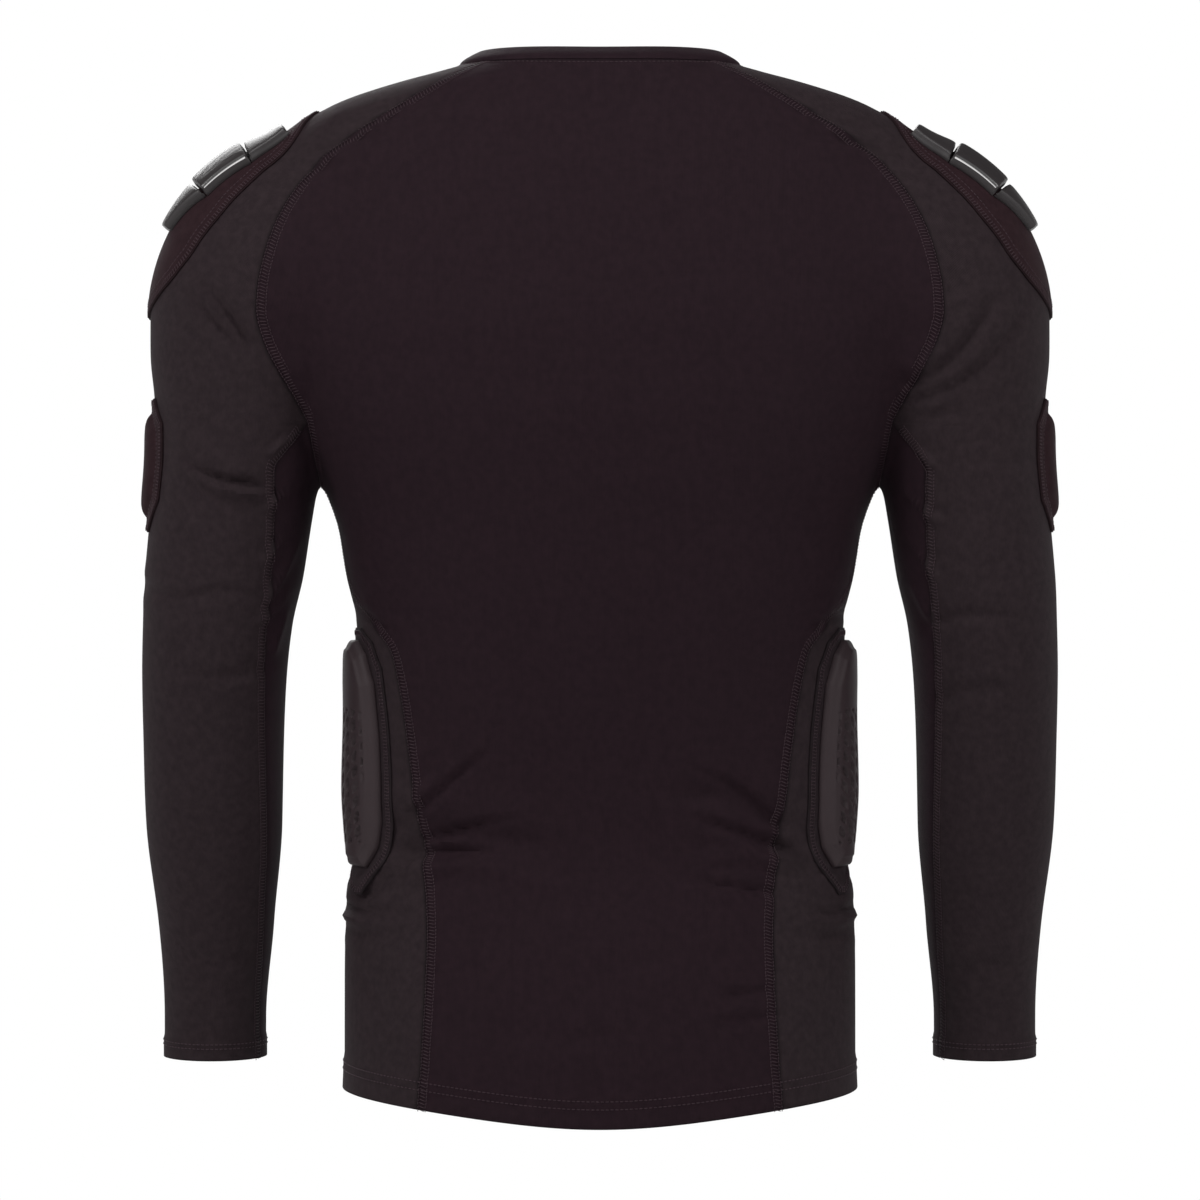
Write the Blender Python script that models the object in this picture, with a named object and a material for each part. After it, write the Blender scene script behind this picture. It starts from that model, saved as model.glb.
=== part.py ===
"""A padded long-sleeved compression shirt, filled out as if worn, with no wearer inside.

Metres, +Z up. The origin is the middle of the neck hole at the height of the shoulders, where a wearer
holds the shirt up. The front faces -Y and the wearer's left is +X. The cloth panels, each one cut piece,
are walls laid on one smooth figure, and meet along shared seams with a hair's gap. The pads lie on them.
"""

import math
from collections import namedtuple

import bmesh
import bpy
import numpy as np

# Cloth and seams
CLOTH = 0.0012
HEM_CLOTH = 0.0020
SEAM_GAP = 0.0003
HEM_DEPTH = 0.020
CUFF_DEPTH = 0.014

# Heights
HEM_SIDE = -0.646
HEM_BACK_DROP = 0.015
HEM_FRONT_DROP = 0.004
CUFF_END = -0.632
GUSSET_CORNER = -0.213
TUCK_HALF = 0.005
HEM_DROP_FROM = -0.500

# How many strips each panel is laid in
RAGLAN_ROWS = 12
CREASE_STEPS = 4
TUCK_STEPS = 2
FLANK_ROWS = 20
ARM_ROWS = 16
BODY_COLUMNS = 14
FLANK_COLUMNS = 7
SLEEVE_COLUMNS = 14

# The figure under the cloth, in level sections: how wide it is to each side, and how far back and front
Torso = namedtuple("Torso", "height half_width back front")
TORSO = (
    Torso(0.050, 0.058, 0.036, 0.062),
    Torso(0.034, 0.068, 0.046, 0.063),
    Torso(0.0215, 0.087, 0.056, 0.064),
    Torso(0.0145, 0.110, 0.060, 0.064),
    Torso(0.0093, 0.130, 0.063, 0.064),
    Torso(0.0040, 0.148, 0.066, 0.064),
    Torso(-0.0010, 0.163, 0.068, 0.065),
    Torso(-0.0060, 0.175, 0.070, 0.066),
    Torso(-0.0125, 0.186, 0.073, 0.067),
    Torso(-0.0200, 0.194, 0.077, 0.069),
    Torso(-0.032, 0.201, 0.082, 0.073),
    Torso(-0.055, 0.208, 0.092, 0.084),
    Torso(-0.085, 0.213, 0.102, 0.097),
    Torso(-0.120, 0.217, 0.111, 0.110),
    Torso(-0.160, 0.215, 0.117, 0.119),
    Torso(-0.200, 0.203, 0.117, 0.124),
    Torso(-0.230, 0.190, 0.114, 0.124),
    Torso(-0.256, 0.1785, 0.110, 0.123),
    Torso(-0.282, 0.1695, 0.105, 0.121),
    Torso(-0.311, 0.1650, 0.100, 0.117),
    Torso(-0.344, 0.1580, 0.094, 0.112),
    Torso(-0.400, 0.1565, 0.083, 0.106),
    Torso(-0.450, 0.1575, 0.075, 0.102),
    Torso(-0.486, 0.1565, 0.073, 0.100),
    Torso(-0.500, 0.1590, 0.074, 0.100),
    Torso(-0.516, 0.1645, 0.078, 0.100),
    Torso(-0.535, 0.1655, 0.084, 0.100),
    Torso(-0.570, 0.1660, 0.095, 0.101),
    Torso(-0.620, 0.1660, 0.105, 0.102),
    Torso(-0.700, 0.1700, 0.111, 0.104),
)
TORSO_SQUARENESS = 2.25

# The wearer's left arm in level sections, and the dome that rounds the shoulder off above them
Arm = namedtuple("Arm", "height centre_x centre_y half_width half_depth")
ARM = (
    Arm(-0.140, 0.2240, 0.006, 0.0685, 0.068),
    Arm(-0.170, 0.2278, 0.007, 0.0645, 0.065),
    Arm(-0.200, 0.2325, 0.008, 0.0570, 0.062),
    Arm(-0.240, 0.2365, 0.009, 0.0530, 0.060),
    Arm(-0.279, 0.2415, 0.009, 0.0515, 0.058),
    Arm(-0.311, 0.2455, 0.008, 0.0505, 0.056),
    Arm(-0.344, 0.2500, 0.006, 0.0475, 0.054),
    Arm(-0.377, 0.2525, 0.002, 0.0460, 0.052),
    Arm(-0.410, 0.2536, -0.004, 0.0450, 0.050),
    Arm(-0.475, 0.2545, -0.017, 0.0435, 0.047),
    Arm(-0.541, 0.2545, -0.031, 0.0370, 0.040),
    Arm(-0.606, 0.2565, -0.045, 0.0325, 0.034),
    Arm(-0.660, 0.2575, -0.056, 0.0325, 0.033),
)
SHOULDER_DOME = 0.099
DOME_POWER = 1.75
SHOULDER_BLEND = 0.050
ARMPIT_BLEND = 0.012

# The neck seam: its height at the back, the shoulders and the front
NECK_CENTRE_Y = -0.004
NECK_BACK = 0.0185
NECK_SIDE = 0.0195
NECK_FRONT = -0.042
RAGLAN_BACK_TURN = 62
RAGLAN_FRONT_TURN = 124
COLLAR_IN = 0.012
COLLAR_UP = 0.0085

# The raglan seams, seen square on, from the neck until they turn under the arm
Seam = namedtuple("Seam", "x height")
RAGLAN_BACK = (
    Seam(0.117, -0.003),
    Seam(0.1415, -0.018),
    Seam(0.158, -0.0285),
    Seam(0.174, -0.0405),
    Seam(0.191, -0.0585),
    Seam(0.206, -0.083),
    Seam(0.214, -0.106),
    Seam(0.2185, -0.128),
    Seam(0.2195, -0.144),
    Seam(0.216, -0.160),
)
RAGLAN_FRONT = (
    Seam(0.102, -0.022),
    Seam(0.128, -0.046),
    Seam(0.152, -0.070),
    Seam(0.174, -0.094),
    Seam(0.191, -0.118),
    Seam(0.202, -0.142),
)

# Half the turn that the under-sleeve panel takes round the arm, in degrees from straight inwards
Gusset = namedtuple("Gusset", "height half_turn")
GUSSET = (
    Gusset(-0.245, 61),
    Gusset(-0.279, 55),
    Gusset(-0.344, 47),
    Gusset(-0.410, 41),
    Gusset(-0.475, 36),
    Gusset(-0.541, 31),
    Gusset(-0.606, 25),
    Gusset(-0.632, 24),
)

# The side panel's two seams: how far they lie behind and before the body's middle, seen from the side
Tuck = namedtuple("Tuck", "height back_y front_y")
TUCK = (
    Tuck(-0.292, 0.009, -0.010),
    Tuck(-0.322, 0.020, -0.024),
)
# Below those, how far out the seams lie, seen square on from the back and from the front
Flank = namedtuple("Flank", "height back_x front_x")
FLANK = (
    Flank(-0.343, 0.147, 0.149),
    Flank(-0.363, 0.133, 0.135),
    Flank(-0.392, 0.127, 0.126),
    Flank(-0.430, 0.122, 0.119),
    Flank(-0.472, 0.117, 0.114),
    Flank(-0.504, 0.112, 0.111),
    Flank(-0.548, 0.110, 0.110),
    Flank(-0.600, 0.112, 0.112),
    Flank(-0.646, 0.115, 0.115),
)

# Folds, each a straight trough or ridge with soft ends, on both halves of the shirt.
# The side is 1 on the back and -1 on the front, and a negative depth is a trough.
Fold = namedtuple("Fold", "side x_from height_from x_to height_to width depth")
FOLDS = (
    Fold(1, 0.119, -0.491, 0.082, -0.478, 0.010, -0.0060),
    Fold(1, 0.112, -0.464, 0.080, -0.448, 0.012, 0.0030),
    Fold(1, 0.112, -0.520, 0.060, -0.512, 0.012, 0.0030),
    Fold(1, 0.190, -0.200, 0.235, -0.172, 0.010, -0.0045),
    Fold(1, 0.210, -0.226, 0.246, -0.210, 0.010, -0.0040),
    Fold(1, 0.216, -0.250, 0.250, -0.240, 0.009, -0.0040),
    Fold(-1, 0.195, -0.190, 0.150, -0.150, 0.011, -0.0040),
    Fold(-1, 0.212, -0.225, 0.248, -0.205, 0.010, -0.0045),
    Fold(-1, 0.272, -0.335, 0.220, -0.352, 0.010, -0.0045),
    Fold(-1, 0.268, -0.372, 0.222, -0.366, 0.010, -0.0040),
    Fold(-1, 0.118, -0.491, 0.090, -0.482, 0.011, -0.0040),
)

# The fabric patch over the shoulder: along the ridge from the neck, and its half turn back and front
PATCH_CLEAR = 0.0008
WIDE_CLEAR = 0.0011
PATCH_CLOTH = 0.0016
Patch = namedtuple("Patch", "along half_width")
SHOULDER_PATCH = (
    Patch(0.099, 0.006),
    Patch(0.108, 0.017),
    Patch(0.123, 0.031),
    Patch(0.144, 0.045),
    Patch(0.174, 0.056),
    Patch(0.204, 0.061),
    Patch(0.231, 0.060),
    Patch(0.254, 0.052),
    Patch(0.272, 0.034),
    Patch(0.284, 0.009),
)
# The three moulded plates along the ridge on that patch
Plate = namedtuple("Plate", "name start end half_start half_end rise")
SHOULDER_PLATES = (
    Plate("inner", 0.1235, 0.1530, 0.0215, 0.0335, 0.0060),
    Plate("middle", 0.1540, 0.1920, 0.0345, 0.0380, 0.0074),
    Plate("outer", 0.1930, 0.2250, 0.0370, 0.0240, 0.0062),
)
PLATE_BEVEL = 0.004
PLATE_EDGE = 0.0018
PLATE_CLEAR = 0.0006

# The eight-sided pad on the upper arm: heights, and its half turn round the arm in degrees
ArmPad = namedtuple("ArmPad", "height half_turn")
ARM_PAD = (
    ArmPad(-0.197, 19),
    ArmPad(-0.214, 35),
    ArmPad(-0.238, 37),
    ArmPad(-0.264, 36),
    ArmPad(-0.284, 19),
)
ARM_PAD_EDGE = 0.0016
ARM_PAD_RISE = 0.0065
ARM_PAD_MARGIN = 0.011

# The pad at the waist, seen from the side: a stitched flange with a moulded block on it
WaistPad = namedtuple("WaistPad", "height back_y front_y")
WAIST_FLANGE = (
    WaistPad(-0.346, 0.029, -0.022),
    WaistPad(-0.355, 0.041, -0.033),
    WaistPad(-0.372, 0.0465, -0.0385),
    WaistPad(-0.410, 0.0465, -0.0400),
    WaistPad(-0.450, 0.0450, -0.0380),
    WaistPad(-0.475, 0.0440, -0.027),
    WaistPad(-0.497, 0.0415, -0.006),
    WaistPad(-0.511, 0.0380, 0.018),
    WaistPad(-0.519, 0.0345, 0.028),
)
WAIST_BLOCK = (
    WaistPad(-0.354, 0.025, -0.017),
    WaistPad(-0.363, 0.035, -0.026),
    WaistPad(-0.382, 0.0405, -0.0315),
    WaistPad(-0.415, 0.0410, -0.0335),
    WaistPad(-0.450, 0.0400, -0.0315),
    WaistPad(-0.472, 0.0390, -0.020),
    WaistPad(-0.488, 0.0365, -0.002),
    WaistPad(-0.502, 0.0320, 0.014),
)
FLANGE_CLOTH = 0.0018
BLOCK_EDGE = 0.0040
BLOCK_RISE = 0.0088
BLOCK_BEVEL = 0.006
BLOCK_CLEAR = 0.0007


def smooth(positions, values):
    """A function that runs through the given values without overshooting between them."""
    order = np.argsort(positions)
    x = np.asarray(positions, float)[order]
    y = np.asarray(values, float)[order]
    step = np.diff(x)
    slope = np.diff(y) / step
    tangent = np.zeros(len(x))
    same_way = slope[1:] * slope[:-1] > 0
    w1, w2 = 2 * step[1:] + step[:-1], step[1:] + 2 * step[:-1]
    before, after = np.where(same_way, slope[:-1], 1), np.where(same_way, slope[1:], 1)
    harmonic = (w1 + w2) / (w1 / before + w2 / after)
    tangent[1:-1] = np.where(same_way, harmonic, 0)
    tangent[0], tangent[-1] = slope[0], slope[-1]
    fine = np.linspace(x[0], x[-1], 1500)
    i = np.clip(np.searchsorted(x, fine, side="right") - 1, 0, len(step) - 1)
    t = (fine - x[i]) / step[i]
    curve = (
        (2 * t**3 - 3 * t**2 + 1) * y[i]
        + (t**3 - 2 * t**2 + t) * step[i] * tangent[i]
        + (3 * t**2 - 2 * t**3) * y[i + 1]
        + (t**3 - t**2) * step[i] * tangent[i + 1]
    )
    return lambda where: np.interp(where, fine, curve)


def columns_of(table):
    """Each column of a table as a smooth function of its height."""
    heights = [row.height for row in table]
    return {name: smooth(heights, [getattr(row, name) for row in table]) for name in table[0]._fields}


torso_at = columns_of(TORSO)
arm_at = columns_of(ARM)
gusset_at = columns_of(GUSSET)
patch_at = smooth([row.along for row in SHOULDER_PATCH], [row.half_width for row in SHOULDER_PATCH])


def ease(t):
    """0 to 1, flat at both ends."""
    t = np.clip(t, 0, 1)
    return t * t * (3 - 2 * t)


def torso_level(p):
    x, y, z = np.abs(p[..., 0]), p[..., 1], p[..., 2]
    reach = np.where(y > 0, torso_at["back"](z), torso_at["front"](z))
    n = TORSO_SQUARENESS
    return ((x / torso_at["half_width"](z)) ** n + (np.abs(y) / reach) ** n) ** (1 / n) - 1


def arm_level(p):
    x, y, z = np.abs(p[..., 0]), p[..., 1], p[..., 2]
    across = (x - arm_at["centre_x"](z)) / arm_at["half_width"](z)
    deep = (y - arm_at["centre_y"](z)) / arm_at["half_depth"](z)
    above = np.maximum(0, z - ARM[0].height) / SHOULDER_DOME
    return (np.hypot(across, deep) ** DOME_POWER + above**DOME_POWER) ** (1 / DOME_POWER) - 1


def slope_of(level, p, step=1e-4):
    """The level's gradient at each point."""
    return np.stack(
        [(level(p + step * axis) - level(p - step * axis)) / (2 * step) for axis in np.eye(3)], axis=-1
    )


def distance_to(level, p):
    return level(p) / np.maximum(np.linalg.norm(slope_of(level, p), axis=-1), 1e-6)


def figure(p):
    """How far each point lies outside the figure: torso and arm, blended where they meet."""
    torso, arm = distance_to(torso_level, p), distance_to(arm_level, p)
    blend = ARMPIT_BLEND + (SHOULDER_BLEND - ARMPIT_BLEND) * ease((p[..., 2] + 0.20) / 0.12)
    share = np.clip(0.5 + 0.5 * (arm - torso) / blend, 0, 1)
    return arm + (torso - arm) * share - blend * share * (1 - share)


def unit(v):
    return v / np.linalg.norm(v, axis=-1, keepdims=True)


def normals_at(p):
    return unit(slope_of(figure, p, 4e-4))


def surface(origins, directions):
    """Where rays that start inside the figure leave it."""
    directions = unit(np.asarray(directions, float))
    origins = np.broadcast_to(np.asarray(origins, float), directions.shape)
    reach = np.zeros(directions.shape[:-1])
    for _ in range(40):
        short = np.clip(0.8 * figure(origins + directions * reach[..., None]), -0.02, 0.02)
        reach = np.maximum(0, reach - short)
    return origins + directions * reach[..., None]


def spaced(line, count):
    """The line again, in count even steps of its length."""
    along = np.concatenate([[0], np.cumsum(np.linalg.norm(np.diff(line, axis=0), axis=1))])
    at = np.linspace(0, along[-1], count + 1)
    return np.stack([np.interp(at, along, line[:, k]) for k in range(3)], axis=1)


def neck_seam(turns):
    """Points of the neck seam at these turns, in degrees: 0 is the back and 90 the wearer's left."""
    turn = np.radians(turns)
    back, side = np.cos(turn), np.sin(turn)
    height = np.where(
        back > 0,
        NECK_SIDE + (NECK_BACK - NECK_SIDE) * back**2,
        NECK_SIDE + (NECK_FRONT - NECK_SIDE) * np.abs(back) ** 3.5,
    )
    origin = np.stack([0 * turn, NECK_CENTRE_Y + 0 * turn, height], axis=-1)
    return surface(origin, np.stack([side, back, 0 * turn], axis=-1))


def crease_points(y):
    """The points at these y of the crease where the arm meets the torso."""
    y = np.asarray(y, float)
    low, high = np.full(y.shape, -0.30), np.full(y.shape, -0.12)
    for _ in range(22):
        z = (low + high) / 2
        x_in, x_out = np.full(y.shape, 0.14), np.full(y.shape, 0.25)
        for _ in range(18):
            x = (x_in + x_out) / 2
            p = np.stack([x, y, z], axis=-1)
            nearer_torso = distance_to(torso_level, p) < distance_to(arm_level, p)
            x_in, x_out = np.where(nearer_torso, x, x_in), np.where(nearer_torso, x_out, x)
        inside = figure(p) < 0
        low, high = np.where(inside, low, z), np.where(inside, z, high)
    return p


def square_on(seam, side):
    """Points seen square on, from the back (side 1) or the front (side -1), laid on the figure."""
    origins = np.array([[row.x, 0, row.height] for row in seam])
    return surface(origins, np.array([[0, side, 0]] * len(seam)))


def through(points, at):
    """A smooth line through points and put back on the figure, at these shares of its length."""
    chord = np.concatenate([[0], np.cumsum(np.linalg.norm(np.diff(points, axis=0), axis=1))])
    fine = np.linspace(0, chord[-1], 200)
    line = np.stack([smooth(chord, points[:, k])(fine) for k in range(3)], axis=1)
    along = np.concatenate([[0], np.cumsum(np.linalg.norm(np.diff(line, axis=0), axis=1))])
    stops = np.asarray(at) * along[-1]
    steps = np.stack([np.interp(stops, along, line[:, k]) for k in range(3)], axis=1)
    normal = normals_at(steps[1:-1])
    steps[1:-1] = surface(steps[1:-1] - 0.02 * normal, normal)
    return steps


def raglan_seam(table, neck_turn, side):
    """From the neck to the corner under the arm, and from there along the crease to the side panel."""
    y = side * np.linspace(TUCK_HALF, 0.065, 25)
    crease = crease_points(y)
    place = np.interp(GUSSET_CORNER, crease[:, 2], y * side)
    under = crease_points(side * np.linspace(place, TUCK_HALF, CREASE_STEPS + 1))
    shown = np.concatenate([neck_seam(np.array([neck_turn])), square_on(table, side), under[:1]])
    return through(shown, np.linspace(0, 1, RAGLAN_ROWS + 1)), under


def hem_steps(count, length, depth):
    """Shares of a panel's length: even strips, then a narrow one where the turned hem begins."""
    start = 1 - depth / length
    return np.concatenate([np.linspace(0, start, count + 1), [start + 0.0012 / length, 1]])


def turn_of(p):
    return np.arctan2(p[..., 0], p[..., 1] - NECK_CENTRE_Y)


def dropped(turn, height):
    """The hem hangs lower at the back and the front than at the sides."""
    reach = np.cos(turn)
    drop = np.where(reach > 0, HEM_BACK_DROP, HEM_FRONT_DROP) * reach**2
    return height - drop * ease((HEM_DROP_FROM - height) / (HEM_DROP_FROM - HEM_SIDE))


def on_torso(turn, height):
    z = dropped(turn, height)
    turn, z = np.broadcast_arrays(turn, z)
    origin = np.stack([0 * z, NECK_CENTRE_Y + 0 * z, z], axis=-1)
    return surface(origin, np.stack([np.sin(turn), np.cos(turn), 0 * z], axis=-1))


def flank_seam(column, tuck_column, side):
    """A side panel's seam, from the armpit to the hem, as turns and level heights."""
    start = crease_points([side * TUCK_HALF])
    y = np.array([[0, getattr(row, tuck_column), row.height] for row in TUCK])
    tuck = surface(y, np.array([[1, 0, 0]] * len(y)))
    rows = np.array([[getattr(row, column), 0, row.height] for row in FLANK])
    low = surface(rows, np.array([[0, side, 0]] * len(rows)))
    points = np.concatenate([start, tuck, low])
    line = through(points, hem_steps(FLANK_ROWS, 0.43, HEM_DEPTH))
    return line


def folded(p):
    """Points moved out or in by the folds that run near them."""
    out = np.zeros(p.shape[:-1])
    x, y, z = np.abs(p[..., 0]), p[..., 1], p[..., 2]
    middle = np.where(x > 0.2, arm_at["centre_y"](z), 0)
    for fold in FOLDS:
        ax, az = fold.x_from, fold.height_from
        dx, dz = fold.x_to - ax, fold.height_to - az
        length = math.hypot(dx, dz)
        along = ((x - ax) * dx + (z - az) * dz) / length
        across = ((x - ax) * dz - (z - az) * dx) / length
        beyond = np.maximum(0, np.abs(along - length / 2) - length / 2)
        facing = ease((fold.side * (y - middle)) / 0.03)
        out += fold.depth * facing * np.exp(-((across / fold.width) ** 2) - (beyond / fold.width) ** 2)
    return out


def placed(p):
    """The panel's inner points and the way out from each."""
    normal = normals_at(p)
    return p + normal * folded(p)[..., None], normal


def edge_way(points, normals, along_first):
    """For one edge of a panel, the unit step along the cloth into the panel."""
    tangent = unit(np.gradient(points, axis=0))
    way = np.cross(normals, tangent)
    inward = np.sum(way * along_first, axis=-1, keepdims=True) < 0
    return unit(np.where(inward, -way, way))


def parted(p, normal, sides="tblr"):
    """A panel's points, drawn back by half the seam's gap along the named edges."""
    half = SEAM_GAP / 2
    moved = p.copy()
    if "l" in sides:
        moved[:, 0] += half * edge_way(p[:, 0], normal[:, 0], p[:, 1] - p[:, 0])
    if "r" in sides:
        moved[:, -1] += half * edge_way(p[:, -1], normal[:, -1], p[:, -2] - p[:, -1])
    if "t" in sides:
        moved[0] += half * edge_way(p[0], normal[0], p[1] - p[0])
    if "b" in sides:
        moved[-1] += half * edge_way(p[-1], normal[-1], p[-2] - p[-1])
    return moved


def wall(name, inner, outer, material, ring=False):
    """A closed wall between two grids of points."""
    rows, columns = inner.shape[:2]
    points = np.concatenate([outer.reshape(-1, 3), inner.reshape(-1, 3)])
    back = rows * columns
    wrap = columns if ring else columns - 1
    faces = []
    for r in range(rows - 1):
        for c in range(wrap):
            a, b = r * columns + c, r * columns + (c + 1) % columns
            faces.append((a, b, b + columns, a + columns))
            faces.append((back + a, back + a + columns, back + b + columns, back + b))
    for c in range(wrap):
        a, b = c, (c + 1) % columns
        faces.append((a, back + a, back + b, b))
        a, b = (rows - 1) * columns + a, (rows - 1) * columns + b
        faces.append((a, b, back + b, back + a))
    if not ring:
        for r in range(rows - 1):
            a, b = r * columns, (r + 1) * columns
            faces.append((a, b, back + b, back + a))
            a, b = a + columns - 1, b + columns - 1
            faces.append((a, back + a, back + b, b))
    mesh = bpy.data.meshes.new(name)
    mesh.from_pydata(points.tolist(), [], faces)
    work = bmesh.new()
    work.from_mesh(mesh)
    bmesh.ops.triangulate(work, faces=work.faces[:], quad_method="SHORT_EDGE")
    bmesh.ops.recalc_face_normals(work, faces=work.faces[:])
    work.to_mesh(mesh)
    work.free()
    mesh.materials.append(material)
    piece = bpy.data.objects.new(name, mesh)
    shirt.objects.link(piece)
    return piece


def mirrored(p):
    return p * np.array([-1, 1, 1])


def both_sides(name, inner, outer, material_name, look):
    for suffix, flip in (("left", False), ("right", True)):
        a, b = (mirrored(inner), mirrored(outer)) if flip else (inner, outer)
        wall(f"{name}_{suffix}", a, b, material(f"{material_name}_{suffix}", look))


Look = namedtuple("Look", "colour roughness")
TORSO_KNIT = Look((0.0205, 0.0125, 0.0152), 0.80)
SLEEVE_KNIT = Look((0.0290, 0.0230, 0.0250), 0.82)
PATCH_KNIT = Look((0.0160, 0.0085, 0.0100), 0.78)
FOAM_SKIN = Look((0.0150, 0.0110, 0.0120), 0.62)
MOULDED = Look((0.0330, 0.0290, 0.0300), 0.42)


def material(name, look):
    made = bpy.data.materials.new(name)
    made.use_nodes = True
    shader = made.node_tree.nodes["Principled BSDF"]
    shader.inputs["Base Color"].default_value = (*look.colour, 1)
    shader.inputs["Roughness"].default_value = look.roughness
    made.diffuse_color = (*look.colour, 1)
    return made


def start_scene():
    for old in list(bpy.data.objects):
        bpy.data.objects.remove(old, do_unlink=True)
    made = bpy.data.collections.new("padded_compression_shirt")
    bpy.context.scene.collection.children.link(made)
    return made


def torso_panel(seam, level, side):
    """Points of the whole back or front, from the seam on the wearer's left, row by row."""
    rows, columns = len(seam), BODY_COLUMNS
    turn = turn_of(seam)
    share = np.linspace(0, 1, columns + 1)
    far = -turn if side > 0 else 2 * math.pi - turn
    turns = turn[:, None] + (far - turn)[:, None] * share
    nominal = np.repeat(level[:, None], columns + 1, axis=1)
    neck = neck_seam(np.degrees(turns[0]))
    fade = np.clip(1 - np.arange(rows) / RAGLAN_ROWS, 0, 1)[:, None]
    nominal = nominal + fade * (neck[:, 2] - level[0])
    p = on_torso(turns, nominal)
    p[0] = neck
    p[:, 0], p[:, -1] = seam, mirrored(seam)
    return p


def ridge_line():
    """The top of the shoulder and the outside of the arm, from the neck seam, finely."""
    sweep = np.radians(np.linspace(113, -34, 240))
    pivot = np.array([0.160, 0.004, -0.130])
    line = surface(pivot, np.stack([np.cos(sweep), 0 * sweep, np.sin(sweep)], axis=1))
    line[0] = neck_seam(np.array([90.0]))[0]
    return line


def along_ridge(line, at):
    length = np.concatenate([[0], np.cumsum(np.linalg.norm(np.diff(line, axis=0), axis=1))])
    return np.stack([np.interp(at, length, line[:, k]) for k in range(3)], axis=-1)


def fan(start, top, end, share):
    """Directions that swing from start over top to end."""
    first = np.clip(share * 2, 0, 1)[..., None]
    second = np.clip(share * 2 - 1, 0, 1)[..., None]

    def swing(a, b, t):
        angle = np.arccos(np.clip(np.sum(a * b, axis=-1, keepdims=True), -1, 1))
        return (np.sin((1 - t) * angle) * a + np.sin(t * angle) * b) / np.sin(angle)

    return np.where(second > 0, swing(top, end, second), swing(start, top, first))


def sleeve_top(back, front, line):
    """The raglan part of the sleeve, between its two seams and over the shoulder."""
    ridge = spaced(line[line[:, 2] > GUSSET_CORNER], RAGLAN_ROWS)
    out = normals_at(ridge)
    share = np.linspace(0, 1, SLEEVE_COLUMNS + 1)
    depth = 0.055
    centre = (ridge - depth * out)[:, None]
    ways = fan(unit(back[:, None] - centre), out[:, None], unit(front[:, None] - centre), share[None])
    p = surface(np.broadcast_to(centre, ways.shape), ways)
    p[0] = neck_seam(RAGLAN_BACK_TURN + (RAGLAN_FRONT_TURN - RAGLAN_BACK_TURN) * share)
    p[:, 0], p[:, -1] = back, front
    return p


def arm_turn(p):
    """Turn round the arm from straight inwards, positive towards the back."""
    z = p[..., 2]
    return np.arctan2(p[..., 1] - arm_at["centre_y"](z), arm_at["centre_x"](z) - p[..., 0])


def on_arm(turn, z):
    turn, z = np.broadcast_arrays(turn, z)
    origin = np.stack([arm_at["centre_x"](z), arm_at["centre_y"](z), z], axis=-1)
    return surface(origin, np.stack([-np.cos(turn), np.sin(turn), 0 * z], axis=-1))


def lower_arm(crease):
    """The under-sleeve panel, then the rest of the sleeve, from the crease down to the cuff."""
    steps = hem_steps(ARM_ROWS, 0.43, CUFF_DEPTH)
    level = crease[None, :, 2] + (CUFF_END - crease[None, :, 2]) * steps[:, None]
    half = np.radians(gusset_at["half_turn"](level[:, :1]))
    spread = np.linspace(1, -1, crease.shape[0])[None]
    blend = ease(steps / 0.075)[:, None]
    turns = arm_turn(crease)[None] * (1 - blend) + half * spread * blend
    under = on_arm(turns, level)
    under[0] = crease
    share = np.linspace(0, 1, SLEEVE_COLUMNS + 1)
    start = turns[1:, :1]
    end = 2 * math.pi + turns[1:, -1:]
    edge = level[1:, :1] + (level[1:, -1:] - level[1:, :1]) * share
    outer = on_arm(start + (end - start) * share, edge)
    outer[:, 0], outer[:, -1] = under[1:, 0], under[1:, -1]
    return under, outer


def thickness(rows, hem=True):
    """The cloth's thickness row by row, doubled where the hem is turned up."""
    made = np.full(rows, CLOTH)
    if hem:
        made[-2:] = HEM_CLOTH
    return made[:, None, None]


def panel(p, sides="tlr"):
    inner, normal = placed(p)
    inner = parted(inner, normal, sides)
    return inner, inner + normal * thickness(len(p))


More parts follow.
